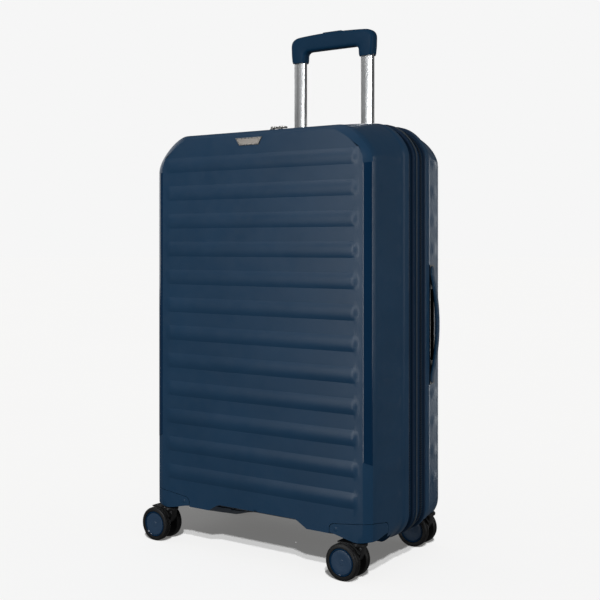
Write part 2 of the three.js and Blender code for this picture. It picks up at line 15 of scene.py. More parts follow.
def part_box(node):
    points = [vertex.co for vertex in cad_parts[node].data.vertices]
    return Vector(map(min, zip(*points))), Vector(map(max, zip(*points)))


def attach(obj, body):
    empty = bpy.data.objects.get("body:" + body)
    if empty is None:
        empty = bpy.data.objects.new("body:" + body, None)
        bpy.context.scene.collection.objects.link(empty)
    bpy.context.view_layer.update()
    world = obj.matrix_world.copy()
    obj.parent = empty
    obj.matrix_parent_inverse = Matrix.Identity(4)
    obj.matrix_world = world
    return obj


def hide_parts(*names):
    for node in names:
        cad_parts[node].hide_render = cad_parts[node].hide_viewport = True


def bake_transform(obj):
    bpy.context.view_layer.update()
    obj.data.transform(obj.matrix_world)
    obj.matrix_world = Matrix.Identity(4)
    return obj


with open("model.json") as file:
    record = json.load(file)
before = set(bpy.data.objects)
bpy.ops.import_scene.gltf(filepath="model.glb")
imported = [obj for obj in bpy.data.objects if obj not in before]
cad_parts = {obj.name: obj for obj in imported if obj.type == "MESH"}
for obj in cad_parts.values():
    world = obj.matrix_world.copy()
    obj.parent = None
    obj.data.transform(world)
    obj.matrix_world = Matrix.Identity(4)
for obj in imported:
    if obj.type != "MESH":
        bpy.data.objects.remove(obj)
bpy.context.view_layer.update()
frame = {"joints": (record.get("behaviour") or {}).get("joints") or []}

MM = 0.001

# ---------------------------------------------------------------- what the frame says


def node_box(name):
    """A CAD node's lowest and highest corners."""
    lo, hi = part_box(name)
    return [v / MM for v in lo], [v / MM for v in hi]


lid_lo, lid_hi = node_box("front_shell")
rear_lo, rear_hi = node_box("rear_shell")
MIDDLE_X = (lid_lo[0] + lid_hi[0]) / 2
HALF_WIDTH = (lid_hi[0] - lid_lo[0]) / 2
SHELL_TOP = lid_hi[2]
SHELL_LOW = rear_lo[2]
FACE_Y, LID_RIM_Y = lid_lo[1], lid_hi[1]
REAR_RIM_Y, BACK_Y = rear_lo[1], rear_hi[1]
JOINTS = {j["name"]: j for j in frame["joints"]}


def joint_at(name):
    """Where a joint is, x from the middle plane."""
    x, y, z = (v / MM for v in JOINTS[name]["pos_m"])
    return x - MIDDLE_X, y, z


def local_box(name):
    """A CAD node's lowest and highest corners, x from the middle plane."""
    lo, hi = node_box(name)
    return (lo[0] - MIDDLE_X, lo[1], lo[2]), (hi[0] - MIDDLE_X, hi[1], hi[2])


# ---------------------------------------------------------------- meshes


def lerp(a, b, t):
    return a + (b - a) * t


def clamp(value):
    return min(max(value, 0), 1)


def smooth(t):
    """From 0 to 1, level at both ends."""
    return t * t * (3 - 2 * t)


def merge(*parts):
    """Several (points, faces) as one."""
    points, faces = [], []
    for part_points, part_faces in parts:
        base = len(points)
        points += [tuple(p) for p in part_points]
        faces += [[base + i for i in face] for face in part_faces]
    return points, faces


def loft(rings, closed=True, caps=True, loop=False):
    """Quads between rings of equal length.

    closed joins each ring's ends, caps fills the first and last ring, and loop joins those two.
    """
    count = len(rings[0])
    points = [p for ring in rings for p in ring]
    faces = []
    for j in range(len(rings) - (0 if loop else 1)):
        below, above = j * count, (j + 1) % len(rings) * count
        for i in range(count if closed else count - 1):
            k = (i + 1) % count
            faces.append([below + i, below + k, above + k, above + i])
    if caps and not loop:
        faces.append(list(range(count))[::-1])
        faces.append([(len(rings) - 1) * count + i for i in range(count)])
    return points, faces


def place(axis, along, u, v):
    """A point at distance along on one axis and (u, v) on the other two, in their order."""
    return {"x": (along, u, v), "y": (u, along, v), "z": (u, v, along)}[axis]


ROUND_STEPS = (0.0, 0.3, 0.65, 1.0)     # rings on a prism's rounded rim, as shares of a quarter turn


def prism(outline, axis, start, end, edge=0.0):
    """An outline swept along an axis. edge is the radius of both rims."""
    middle = np.mean(outline, axis=0)
    sizes = np.ptp(outline, axis=0) / 2

    def ring(along, inset):
        scale = 1 - inset / sizes
        return [place(axis, along, *(middle + (np.array(p) - middle) * scale)) for p in outline]

    near, far = [], []
    for t in ROUND_STEPS if edge else (0.0,):
        back = edge * (1 - math.cos(t * math.pi / 2))
        inset = edge * (1 - math.sin(t * math.pi / 2))
        near.append(ring(start + back, inset))
        far.append(ring(end - back, inset))
    return loft(near + far[::-1])


def arc(cx, cy, radius, start, end, steps=6):
    """Points on an arc, angles in degrees. radius may be a pair."""
    rx, ry = radius if isinstance(radius, tuple) else (radius, radius)
    angles = np.radians(np.linspace(start, end, steps + 1))
    return [(cx + rx * math.cos(a), cy + ry * math.sin(a)) for a in angles]


def rounded_rect(x0, x1, y0, y1, r, steps=5):
    """A rectangle's outline with corners of radius r."""
    return (arc(x1 - r, y0 + r, r, -90, 0, steps) + arc(x1 - r, y1 - r, r, 0, 90, steps)
            + arc(x0 + r, y1 - r, r, 90, 180, steps) + arc(x0 + r, y0 + r, r, 180, 270, steps))


def block(lo, hi, radius=0.0, segments=2):
    """A box with all its edges rounded."""
    mesh = bmesh.new()
    bmesh.ops.create_cube(mesh, size=1)
    for vertex in mesh.verts:
        vertex.co = [lerp(a, b, c + 0.5) for a, b, c in zip(lo, hi, vertex.co)]
    if radius:
        bmesh.ops.bevel(mesh, geom=mesh.edges[:], offset=radius, segments=segments, profile=0.5,
                        affect="EDGES")
    mesh.verts.ensure_lookup_table()
    result = [tuple(v.co) for v in mesh.verts], [[v.index for v in f.verts] for f in mesh.faces]
    mesh.free()
    return result


def turned(profile, axis, centre, sides=48):
    """A profile of (radius, along) turned about an axis through centre. Closed where a radius is 0."""
    rings = []
    for radius, along in profile:
        ring = []
        for i in range(sides):
            a = 2 * math.pi * i / sides
            u, v = max(radius, 0.001) * math.cos(a), max(radius, 0.001) * math.sin(a)
            p = place(axis, along, u, v)
            ring.append(tuple(p[k] + centre[k] for k in range(3)))
        rings.append(ring)
    return loft(rings, loop=profile[0] == profile[-1])


def make_object(name, part):
    """An object in millimetres that Booleans can work on."""
    mesh = bpy.data.meshes.new(name)
    mesh.from_pydata(part[0], [], part[1])
    shape = bmesh.new()
    shape.from_mesh(mesh)
    bmesh.ops.recalc_face_normals(shape, faces=shape.faces)
    shape.to_mesh(mesh)
    shape.free()
    thing = bpy.data.objects.new(name, mesh)
    bpy.context.scene.collection.objects.link(thing)
    return thing


def boolean(thing, operation, part):
    """thing's mesh after a Boolean with a (points, faces) part or another object, which is used up."""
    other = part if isinstance(part, bpy.types.Object) else make_object("tool", part)
    modifier = thing.modifiers.new("boolean", "BOOLEAN")
    modifier.operation = operation
    modifier.solver = "EXACT"
    modifier.object = other
    result = bpy.data.meshes.new_from_object(thing.evaluated_get(bpy.context.evaluated_depsgraph_get()))
    thing.modifiers.clear()
    thing.data = result
    bpy.data.objects.remove(other)
    return thing


def add_piece(name, body, paint, part, replaces=None, sharp=30):
    """A finished piece from (points, faces) or an object in millimetres, riding on a CAD body.

    It may replace a CAD node. Edges stay sharp where faces meet at more than sharp degrees.
    """
    thing = part if isinstance(part, bpy.types.Object) else make_object(name, part)
    thing.name = thing.data.name = name
    thing.data.transform(Matrix.Translation((MIDDLE_X * MM, 0, 0)) @ Matrix.Scale(MM, 4))
    thing.data.materials.clear()
    thing.data.materials.append(paint)
    thing.data.shade_smooth()
    thing.data.set_sharp_from_angle(angle=math.radians(sharp))
    if body:
        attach(thing, body)
    if replaces:
        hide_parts(replaces)
    return thing


# ---------------------------------------------------------------- materials


class Paint:
    """A procedural material. Texture coordinates are the piece's own, so patterns move with it."""

    def __init__(self, name, color, roughness, metallic=0.0, specular=0.5):
        self.material = bpy.data.materials.new(name)
        self.material.use_nodes = True
        self.nodes = self.material.node_tree.nodes
        self.links = self.material.node_tree.links
        self.shader = self.nodes["Principled BSDF"]
        self.shader.inputs["Base Color"].default_value = (*color, 1)
        self.shader.inputs["Roughness"].default_value = roughness
        self.shader.inputs["Metallic"].default_value = metallic
        self.shader.inputs["Specular IOR Level"].default_value = specular
        self.color, self.roughness = color, roughness
        self.coordinates = self.nodes.new("ShaderNodeTexCoord")
        self.height = None

    def stretched(self, scale):
        mapping = self.nodes.new("ShaderNodeMapping")
        mapping.inputs["Scale"].default_value = scale
        self.links.new(self.coordinates.outputs["Object"], mapping.inputs["Vector"])
        return mapping.outputs["Vector"]

    def noise(self, scale, detail=3.0, stretch=(1, 1, 1)):
        texture = self.nodes.new("ShaderNodeTexNoise")
        texture.inputs["Scale"].default_value = scale
        texture.inputs["Detail"].default_value = detail
        self.links.new(self.stretched(stretch), texture.inputs["Vector"])
        return texture.outputs["Fac"]

    def ramp(self, value, low, high, out_low, out_high):
        node = self.nodes.new("ShaderNodeMapRange")
        limits = {"From Min": low, "From Max": high, "To Min": out_low, "To Max": out_high}
        for key, number in limits.items():
            node.inputs[key].default_value = number
        self.links.new(value, node.inputs["Value"])
        return node.outputs["Result"]

    def math(self, operation, a, b):
        node = self.nodes.new("ShaderNodeMath")
        node.operation = operation
        for socket, value in zip(node.inputs, (a, b)):
            if isinstance(value, (int, float)):
                socket.default_value = value
            else:
                self.links.new(value, socket)
        return node.outputs["Value"]

    def mottle(self, value, dark, light, low=0.3, high=0.7):
        """Colour runs from dark to light times the base colour, by a texture."""
        mix = self.nodes.new("ShaderNodeMix")
        mix.data_type = "RGBA"
        self.links.new(self.ramp(value, low, high, 0, 1), mix.inputs["Factor"])
        mix.inputs["A"].default_value = (*[c * dark for c in self.color], 1)
        mix.inputs["B"].default_value = (*[c * light for c in self.color], 1)
        self.links.new(mix.outputs["Result"], self.shader.inputs["Base Color"])
        return self

    def uneven(self, value, spread, low=0.3, high=0.7):
        """Roughness varies by spread either way."""
        rough = self.ramp(value, low, high, self.roughness - spread, self.roughness + spread)
        self.links.new(rough, self.shader.inputs["Roughness"])
        return self

    def bump(self, value, depth):
        """Adds relief, depth in metres from the texture's black to its white."""
        node = self.nodes.new("ShaderNodeBump")
        node.inputs["Distance"].default_value = depth
        self.links.new(value, node.inputs["Height"])
        if self.height is not None:
            self.links.new(self.height, node.inputs["Normal"])
        self.height = node.outputs["Normal"]
        self.links.new(self.height, self.shader.inputs["Normal"])
        return self

    def set(self, **values):
        for key, value in values.items():
            self.shader.inputs[key.replace("_", " ").title()].default_value = value
        return self


WAVE_SCALE, WAVE_DEPTH = 28, 0.00012    # noise cells in a metre, and metres of relief
SCUFF_SCALE, SCUFF_SPREAD = 60, 0.045
TONE_SCALE = 9


def moulded(name, color, roughness, grain=2600.0, grain_depth=0.000012, specular=0.5):
    """Moulded plastic: a fine spark-eroded grain, slow waves in the surface and small scuffs."""
    paint = Paint(name, color, roughness, specular=specular)
    paint.bump(paint.noise(WAVE_SCALE, 1.0), WAVE_DEPTH)
    paint.bump(paint.noise(grain, 2.0), grain_depth)
    paint.uneven(paint.noise(SCUFF_SCALE, 5.0), SCUFF_SPREAD)
    paint.mottle(paint.noise(TONE_SCALE, 4.0), 0.94, 1.06)
    return paint.material


FUZZ_SCALE = 3200
PATCH_SCALE = 220       # of the uneven patches in a cloth's roughness


def woven(name, color, period, depth, roughness=0.85, contrast=0.25):
    """Cloth: threads every period metres both ways, a fuzzy unevenness and a soft sheen."""
    paint = Paint(name, color, roughness, specular=0.1)
    split = paint.nodes.new("ShaderNodeSeparateXYZ")
    paint.links.new(paint.coordinates.outputs["Object"], split.inputs["Vector"])
    turns = 2 * math.pi / period
    across = paint.math("SINE", paint.math("MULTIPLY", split.outputs["Y"], turns), 0)
    run = paint.math("ADD", split.outputs["X"], split.outputs["Z"])
    along = paint.math("SINE", paint.math("MULTIPLY", run, turns), 0)
    weave = paint.ramp(paint.math("MULTIPLY", across, along), -1, 1, 0, 1)
    paint.bump(weave, depth)
    paint.bump(paint.noise(FUZZ_SCALE, 3.0), depth * 0.5)
    paint.mottle(weave, 1 - contrast, 1 + contrast, 0.1, 0.9)
    paint.uneven(paint.noise(PATCH_SCALE, 3.0), 0.08)
    paint.set(sheen_weight=0.02, sheen_roughness=0.5)
    return paint.material


def metal(name, color, roughness, stretch, scale=900, depth=0.000004, spread=0.06):
    """Metal with fine drawn or tumbled marks, stretched one way."""
    paint = Paint(name, color, roughness, metallic=1.0)
    marks = paint.noise(scale, 4.0, stretch)
    paint.bump(marks, depth)
    paint.uneven(marks, spread)
    paint.mottle(paint.noise(30, 3.0), 0.95, 1.05)
    return paint.material


NET_CELLS = 520         # in a metre


def netting():
    """Fine pocket mesh: a honeycomb of open cells over a darker cloth."""
    paint = Paint("pocket_net", (0.010, 0.016, 0.026), 0.9, specular=0.15)
    cells = paint.nodes.new("ShaderNodeTexVoronoi")
    cells.feature = "DISTANCE_TO_EDGE"
    cells.inputs["Scale"].default_value = NET_CELLS
    cells.inputs["Randomness"].default_value = 0.15
    paint.links.new(paint.coordinates.outputs["Object"], cells.inputs["Vector"])
    hole = paint.ramp(cells.outputs["Distance"], 0.05, 0.3, 1, 0)
    paint.bump(hole, 0.0003)
    paint.mottle(hole, 0.35, 1.5, 0.2, 0.8)
    return paint.material


def rubber():
    """Tyre rubber: a fine grain, and dusty patches."""
    paint = Paint("tyre_rubber", (0.0042, 0.0042, 0.0044), 0.48, specular=0.35)
    paint.bump(paint.noise(1800, 3.0), 0.00002)
    paint.uneven(paint.noise(90, 5.0), 0.1)
    paint.mottle(paint.noise(40, 5.0), 0.8, 1.35)
    return paint.material


SHELL = moulded("shell_plastic", (0.0105, 0.040, 0.085), 0.34, specular=0.24)
TRIM = moulded("gloss_trim", (0.0016, 0.021, 0.056), 0.16, 5200, 0.000002, 0.25)
FABRIC = woven("band_fabric", (0.005, 0.022, 0.052), 0.0011, 0.00016)
TAPE = woven("zip_tape", (0.003, 0.008, 0.018), 0.0008, 0.0001)
PIPING = woven("piping", (0.0065, 0.020, 0.046), 0.0009, 0.00006, 0.6, 0.15)
# A grey cord on the band. Its pale colour is partly real and partly a painted highlight along the band's
# ridge.
HIGHLIGHT_CORD = woven("highlight_cord", (0.055, 0.068, 0.080), 0.0012, 0.00008, 0.55, 0.15)
LINING_CLOTH = woven("lining_cloth", (0.022, 0.028, 0.036), 0.0007, 0.00005, 0.6, 0.2)
NET = netting()
COIL = moulded("zip_coil", (0.004, 0.011, 0.022), 0.4, 3000, 0.000004)
GRIP = moulded("grip_plastic", (0.0046, 0.030, 0.068), 0.46, 3400, 0.000008, 0.07)
TRAY = moulded("tray_plastic", (0.0062, 0.022, 0.043), 0.4)
BLACK = moulded("black_plastic", (0.0062, 0.0064, 0.0068), 0.34, 2400, 0.000008, 0.45)
CAP = moulded("wheel_cap", (0.022, 0.050, 0.096), 0.33, 3000, 0.000006, 0.35)
TYRE = rubber()
ALUMINIUM = metal("drawn_aluminium", (0.80, 0.81, 0.82), 0.2, (1, 1, 0.01), 600, 0.0000001, 0.02)
OUTER_TUBE = metal("mill_aluminium", (0.55, 0.56, 0.57), 0.4, (1, 1, 0.02))
STEEL = metal("axle_steel", (0.60, 0.60, 0.60), 0.25, (1, 0.02, 1))
NICKEL = metal("dark_nickel", (0.46, 0.45, 0.43), 0.28, (1, 1, 1), 500, 0.00001)
BADGE = metal("badge_field", (0.30, 0.275, 0.25), 0.42, (1, 1, 0.1), 2200, 0.00003)

# The record's slots and the finishes in them.
SLOTS = {"shell_blue": [SHELL], "trim_blue": [TRIM], "cap_blue": [CAP], "handle_blue": [GRIP],
         "fabric_blue": [FABRIC, TAPE, PIPING, HIGHLIGHT_CORD, COIL], "lining": [LINING_CLOTH, NET],
         "black_plastic": [BLACK], "tyre_black": [TYRE], "aluminium": [ALUMINIUM],
         "gunmetal": [NICKEL, BADGE]}
SLOT_OF = {paint.name: slot for slot, paints in SLOTS.items() for paint in paints}


def repaint(paint, *nodes):
    """CAD nodes that keep their shape get a better material."""
    for node in nodes:
        for material_slot in bpy.data.objects[node].material_slots:
            material_slot.material = paint


# ---------------------------------------------------------------- outlines of the case

ARC = 0.5523        # control-point share that turns a cubic curve into a quarter ellipse
CORNER_STEPS = 6    # in half a corner
SQUEEZE = 15        # length at each end of the straight side where rows may be squeezed


class Outline:
    """The case's outline in (x, z), with corners of given width, height and bend."""

    def __init__(self, inset, inset_z=None, upper=(58, 58, 0.43), lower=(44, 44, ARC), fall=0.0):
        inset_z = inset if inset_z is None else inset_z
        self.x, self.low = HALF_WIDTH - inset, SHELL_LOW + inset_z
        self.top = SHELL_TOP - inset_z - fall
        self.upper, self.lower = upper, lower

    def corner(self, side, level, t):
        """A point on a corner, t from 0 at the side to 1 at the top or bottom."""
        w, h, bend = self.upper if level > 0 else self.lower
        z = self.top if level > 0 else self.low
        start, end = np.array((side * self.x, z - level * h)), np.array((side * (self.x - w), z))
        knee = np.array((side * self.x, z))
        a, b = lerp(start, knee, bend), lerp(end, knee, bend)
        s = 1 - t
        return tuple(s ** 3 * start + 3 * s * s * t * a + 3 * s * t * t * b + t ** 3 * end)

    def side_z(self, z, first, last):
        """Heights along the straight side: kept where they can be, squeezed near its two ends."""
        low, high = self.low + self.lower[1], self.top - self.upper[1]
        if z > high - SQUEEZE:
            return lerp(high - SQUEEZE, high, (z - high + SQUEEZE) / (last - high + SQUEEZE))
        if z < low + SQUEEZE:
            return lerp(low, low + SQUEEZE, (z - first) / (low + SQUEEZE - first))
        return z

    def points(self, columns, rows):
        """Points that match a core grid's boundary, anticlockwise from its lower left corner."""
        n, m, steps = len(columns) - 1, len(rows) - 1, CORNER_STEPS

        def level(k, z, which):
            if k < steps:
                return self.corner(-1, which, 0.5 + 0.5 * k / steps)
            if k > n - steps:
                return self.corner(1, which, 0.5 + 0.5 * (n - k) / steps)
            w = (self.upper if which > 0 else self.lower)[0]
            return columns[k] / columns[n - steps] * (self.x - w), z

        def upright(k, side):
            if k < steps:
                return self.corner(side, -1, 0.5 - 0.5 * k / steps)
            if k > m - steps:
                return self.corner(side, 1, 0.5 - 0.5 * (m - k) / steps)
            return side * self.x, self.side_z(rows[k], rows[steps], rows[m - steps])

        bottom = [level(k, self.low, -1) for k in range(n)]
        right = [upright(k, 1) for k in range(m)]
        top = [level(k, self.top, 1) for k in range(n, 0, -1)]
        left = [upright(k, -1) for k in range(m, 0, -1)]
        return bottom + right + top + left


def mix_corner(a, b, t):
    """A corner's width, height and bend between those of two others."""
    return tuple(lerp(u, v, t) for u, v in zip(a, b))


# ---------------------------------------------------------------- ribs

RIB_COUNT = 12
RIB_PITCH = 50.4
RIB_HEIGHT = 26.5       # from crease to crease
RIB_RISE = 2.0
RIB_RAMP = 15.0         # length of the slanted end
FIRST_RIB = SHELL_LOW + 71.3
LAST_RIB_TOP = FIRST_RIB + (RIB_COUNT - 1) * RIB_PITCH + RIB_HEIGHT


def rib_arc(z):
    """How far a rib stands out at height z, as a share of its rise."""
    rib, offset = divmod(z - FIRST_RIB, RIB_PITCH)
    if not 0 <= rib < RIB_COUNT or offset >= RIB_HEIGHT:
        return 0.0
    radius = (RIB_HEIGHT ** 2 / 4 + RIB_RISE ** 2) / (2 * RIB_RISE)
    from_middle = offset - RIB_HEIGHT / 2
    return max(0.0, (math.sqrt(radius ** 2 - from_middle ** 2) - radius + RIB_RISE) / RIB_RISE)


def rib(across, z, end, rise=RIB_RISE, ramp=RIB_RAMP):
    """Relief at a point. across is the distance from the ribs' middle, end where they end."""
    share = clamp((end - abs(across)) / ramp)
    return rib_arc(z) * rise * share * share * (3 - 2 * share)


FAN_STEP = 0.2          # between the grid lines that fan out into a corner
COARSE = 60             # between the grid lines of a face without ribs, and from its edges
RIB_ROWS = 10           # grid rows on one rib
CREASE_ROWS = 4         # and from its crease to the next rib


def grid_lines(half_width, low, high, ribbed):
    """Columns and rows of the grid on a shell's face, close together where the ribs end."""
    edge = half_width - CORNER_STEPS * FAN_STEP
    near = [edge]
    middle = {-COARSE, 0, COARSE}
    if ribbed:
        near = [*np.arange(edge - 18, edge + 0.01, 1.5), 135, 150, 165]
        middle = set(range(-120, 121, 6))
    columns = sorted({round(s * x, 3) for x in near for s in (-1, 1)} | middle)
    fan = [FAN_STEP * k for k in range(1, CORNER_STEPS + 1)]
    columns = [-edge - f for f in reversed(fan)] + columns + [edge + f for f in fan]
    rows = []
    if ribbed:
        for k in range(RIB_COUNT):
            start = FIRST_RIB + k * RIB_PITCH
            rows += list(np.linspace(start, start + RIB_HEIGHT, RIB_ROWS))
            if k < RIB_COUNT - 1:
                rows += list(np.linspace(start + RIB_HEIGHT, start + RIB_PITCH, CREASE_ROWS))[1:-1]
    else:
        rows = list(np.linspace(low + COARSE, high - COARSE, 5))
    low_rows = [low + f for f in [0] + fan]
    high_rows = [high - f for f in reversed([0] + fan)]
    return columns, low_rows + rows + high_rows


def ringed_solid(columns, rows, outward, face_y, rings, relief, floor_at=None):
    """A closed solid: a grid on the face, rings of points outwards and back from it, and a flat rim.

    rings are (share of the way to the outline, outline, y). relief moves a point out, and no point
    is lower than floor_at(x, y).
    """
    points, faces = [], []
    width = len(columns)
    for z in rows:
        points += [(x, face_y, z) for x in columns]
    for r in range(len(rows) - 1):
        for c in range(width - 1):
            a = r * width + c
            faces.append([a, a + 1, a + width + 1, a + width])
    n, m = width - 1, len(rows) - 1
    edge = ([k for k in range(n)] + [k * width + n for k in range(m)]
            + [m * width + k for k in range(n, 0, -1)] + [k * width for k in range(m, 0, -1)])
    core = [points[i] for i in edge]
    for share, outline, y in rings:
        ring = [(lerp(p[0], q[0], share), y, lerp(p[2], q[1], share))
                for p, q in zip(core, outline.points(columns, rows))]
        start = len(points)
        points += ring
        here = list(range(start, start + len(ring)))
        for i in range(len(ring)):
            k = (i + 1) % len(ring)
            faces.append([edge[i], edge[k], here[k], here[i]])
        edge = here
    faces.append(edge[::-1])
    points = [relief(p, outward) for p in points] if relief else points
    if floor_at:
        points = [(x, y, max(z, floor_at(x, y))) for x, y, z in points]
    return points, faces


# ---------------------------------------------------------------- the lid's shell

WALL = 3.0
WALL_SHARE = 0.6        # of the wall by which the inside of the face's edge moves in
FLANGE = 12.0           # width of the raised rim
SHOULDER = 9.0          # its slope down to the side
SHOULDER_STEPS = (0.2, 0.5, 0.8, 1)             # its rings, as shares of its width
RIM_STEPS = ((0, 2), (0.3, 0.6), (0.9, 0))      # the rim's rings: inset, and distance from its end
SIDE_INSET = 1.5        # of the sides beyond the rim
FACE_INSET = 17.6       # of the face's edge
FACET = (3.1, 7.2)      # outer edge of the strip facet: inset and distance behind the face
FACET_SWELL = 0.5       # how far the facet bulges out
FACET_OUT = (0.48, 0.88)        # the way it faces: out to the side, and forward
ROUND_DEPTH = 18.0      # from the face back to where the sides run straight
RIM_CORNER = (58, 58, 0.43)
SIDE_CORNER = (64, 60, 0.40)
FACET_CORNER = (68, 62, 0.36)
FACE_CORNER = (62, 50, 0.32)
LOW_CORNER = (44, 44, ARC)
FRONT_LOW_CORNER = (24, 24, ARC)
FACE_LOW_CORNER = (14, 14, ARC)
FACE_RIB_END = 208.0
LID_CORE = 206.5        # half the width of the grid on the lid's face
TOP_FALL = 8.5          # the top slopes down this far, from the rim to behind the rounded edge
EDGE_FALL = TOP_FALL - 1        # and this far at the facet's outer edge
LID_SHOULDER_Y = LID_RIM_Y - FLANGE - SHOULDER
FOOT_CLIMB = (27, 86, 90)       # of the feet: height, where it starts behind the face, and length
ARCH_CLIMB = (40, 116, 120)     # and of the arch between them
ARCH_HALF = 105                 # half the arch's width
ARCH_SLOPE = 22                 # width of its slanted ends


def climb(ahead, height, start, length):
    """How far the lid's underside has climbed at a distance ahead of the face."""
    return height * clamp((start + ahead) / length)


def lid_floor(x, y):
    """The lid's underside climbs towards the front, with an arch between its two feet."""
    ahead = FACE_Y - y
    ramp = clamp((ARCH_HALF - abs(x)) / ARCH_SLOPE)
    return SHELL_LOW + lerp(climb(ahead, *FOOT_CLIMB), climb(ahead, *ARCH_CLIMB), ramp)


def top_fall(y):
    """How far the lid's top lies below its rim at y."""
    share = clamp((LID_SHOULDER_Y - y) / (LID_SHOULDER_Y - FACE_Y - ROUND_DEPTH))
    return TOP_FALL * share ** 1.3


def lid_rings(wall, fine):
    """Rings of the lid from its face to its rim, moved in by wall."""
    face_y = FACE_Y + wall
    face = Outline(FACE_INSET + wall * WALL_SHARE, upper=FACE_CORNER, lower=FACE_LOW_CORNER)
    rings = [(share, face, face_y) for share in ((0.35, 0.7, 1) if fine else (1,))]
    facet_y = face_y + FACET[1] - wall * 0.3
    steps = 4 if fine else 2
    for k in range(1, steps + 1):
        t = k / steps
        swell = FACET_SWELL * math.sin(math.pi * t)
        inset = lerp(FACE_INSET, FACET[0], t) + wall * lerp(WALL_SHARE, 1, t) - swell * FACET_OUT[0]
        rings.append((1, Outline(inset, None, mix_corner(FACE_CORNER, FACET_CORNER, t),
                                 mix_corner(FACE_LOW_CORNER, FRONT_LOW_CORNER, t), lerp(0, EDGE_FALL, t)),
                      lerp(face_y, facet_y, t) - swell * FACET_OUT[1]))
    back = FACE_Y + ROUND_DEPTH
    steps = 5 if fine else 2
    for k in range(1, steps + 1):
        t = k / steps
        inset = lerp(SIDE_INSET, FACET[0], (1 - t) ** 2) + wall
        rings.append((1, Outline(inset, None, mix_corner(FACET_CORNER, SIDE_CORNER, t), FRONT_LOW_CORNER,
                                 lerp(EDGE_FALL, TOP_FALL, t)), lerp(facet_y, back, t)))
    steps = 14 if fine else 3
    for k in range(1, steps + 1):
        t = k / steps
        y = lerp(back, LID_SHOULDER_Y, t)
        rings.append((1, Outline(SIDE_INSET + wall, None, mix_corner(SIDE_CORNER, RIM_CORNER, t),
                                 mix_corner(FRONT_LOW_CORNER, LOW_CORNER, t), top_fall(y)), y))
    if not fine:
        return rings + [(1, Outline(wall + SIDE_INSET), LID_RIM_Y + 1)]
    for t in SHOULDER_STEPS:
        rings.append((1, Outline(lerp(SIDE_INSET, 0, smooth(t)) + wall), LID_SHOULDER_Y + SHOULDER * t))
    for inset, behind in RIM_STEPS:
        rings.append((1, Outline(wall + inset), LID_RIM_Y - behind))
    return rings


SIDE_RISE = 1.0         # of the ribs on the sides
SIDE_RAMP = 20.0


def side_relief(p, start, end):
    """Faint ribs on a shell's two sides, between two y."""
    x, y, z = p
    middle, reach = (start + end) / 2, abs(end - start) / 2
    if abs(x) < HALF_WIDTH - 12 or abs(y - middle) > reach:
        return p
    return (x + math.copysign(rib(y - middle, z, reach, SIDE_RISE, SIDE_RAMP), x), y, z)


def lid_relief(p, outward):
    """A point of the lid with the ribs' relief."""
    x, y, z = p
    if y == FACE_Y:
        return (x, y + outward * rib(x, z, FACE_RIB_END), z)
    return side_relief(p, FACE_Y + ROUND_DEPTH - 4, LID_SHOULDER_Y + 3)


def lid_solid(wall=0.0, fine=False, feet=True):
    """The lid moved in by wall. feet cuts its underside to the feet and the arch."""
    columns, rows = grid_lines(LID_CORE, SHELL_LOW + 56, LAST_RIB_TOP + 1.3, fine)
    return ringed_solid(columns, rows, -1, FACE_Y + wall, lid_rings(wall, fine),
                        lid_relief if fine else None, lid_floor if feet else None)


# ---------------------------------------------------------------- the rear shell

BACK_INSET = (38.0, 18.0)       # of the back's edge, at the sides and above
BACK_ROUND = 26.0
BACK_CORNER = (36, 36, ARC)
TAPER = 0.16                    # the sides lean in by this share of their depth
REAR_FALL = 5.0                 # and the top slopes down this far towards the back
REAR_CORNER = (64, 61, 0.41)
REAR_RIB_END = 180.0
REAR_CORE = 186.0               # half the width of the grid on the back
REAR_SHOULDER_Y = REAR_RIM_Y + FLANGE + SHOULDER
STEP_IN = 0.12                  # of the sides at the shoulder
TAPER_START = 4.2               # behind the rim's flange


def rear_side_inset(y):
    """How far the rear half's sides lie inside the rim at y."""
    return SIDE_INSET + STEP_IN + TAPER * max(0.0, y - REAR_RIM_Y - FLANGE - TAPER_START)


def rear_rings(wall, fine):
    """Rings of the rear half from its back to its rim, moved in by wall."""
    rings = [(share, Outline(BACK_INSET[0] + wall * WALL_SHARE, BACK_INSET[1] + wall * WALL_SHARE,
                             BACK_CORNER, BACK_CORNER), BACK_Y - wall)
             for share in ((0.35, 0.7, 1) if fine else (1,))]
    round_y = BACK_Y - BACK_ROUND
    side = rear_side_inset(round_y)
    steps = 9 if fine else 4
    for k in range(steps - 1, -1, -1):
        angle = math.pi / 2 * k / steps
        share = 1 - math.cos(angle)
        rings.append((1, Outline(wall + lerp(side, BACK_INSET[0] - wall * 0.4, share),
                                 wall + lerp(SIDE_INSET, BACK_INSET[1] - wall * 0.4, share),
                                 mix_corner(REAR_CORNER, BACK_CORNER, share),
                                 mix_corner(LOW_CORNER, BACK_CORNER, share), REAR_FALL),
                      round_y + (BACK_ROUND - wall) * math.sin(angle)))
    steps = 10 if fine else 2
    for k in range(1, steps + 1):
        t = k / steps
        y = lerp(round_y, REAR_SHOULDER_Y, t)
        rings.append((1, Outline(wall + rear_side_inset(y), wall + SIDE_INSET,
                                 mix_corner(REAR_CORNER, RIM_CORNER, t), LOW_CORNER,
                                 lerp(REAR_FALL, 0, t)), y))
    if not fine:
        return rings + [(1, Outline(wall + SIDE_INSET), REAR_RIM_Y - 1)]
    for t in SHOULDER_STEPS:
        left = 1 - smooth(t)
        rings.append((1, Outline(wall + rear_side_inset(REAR_SHOULDER_Y) * left, wall + SIDE_INSET * left),
                      REAR_SHOULDER_Y - SHOULDER * t))
    for inset, behind in RIM_STEPS:
        rings.append((1, Outline(wall + inset), REAR_RIM_Y + behind))
    return rings


side_base_lo, side_base_hi = local_box("side_handle_base")
HANDLE_ROOM = (side_base_lo[2] - 8, side_base_hi[2] + 8)


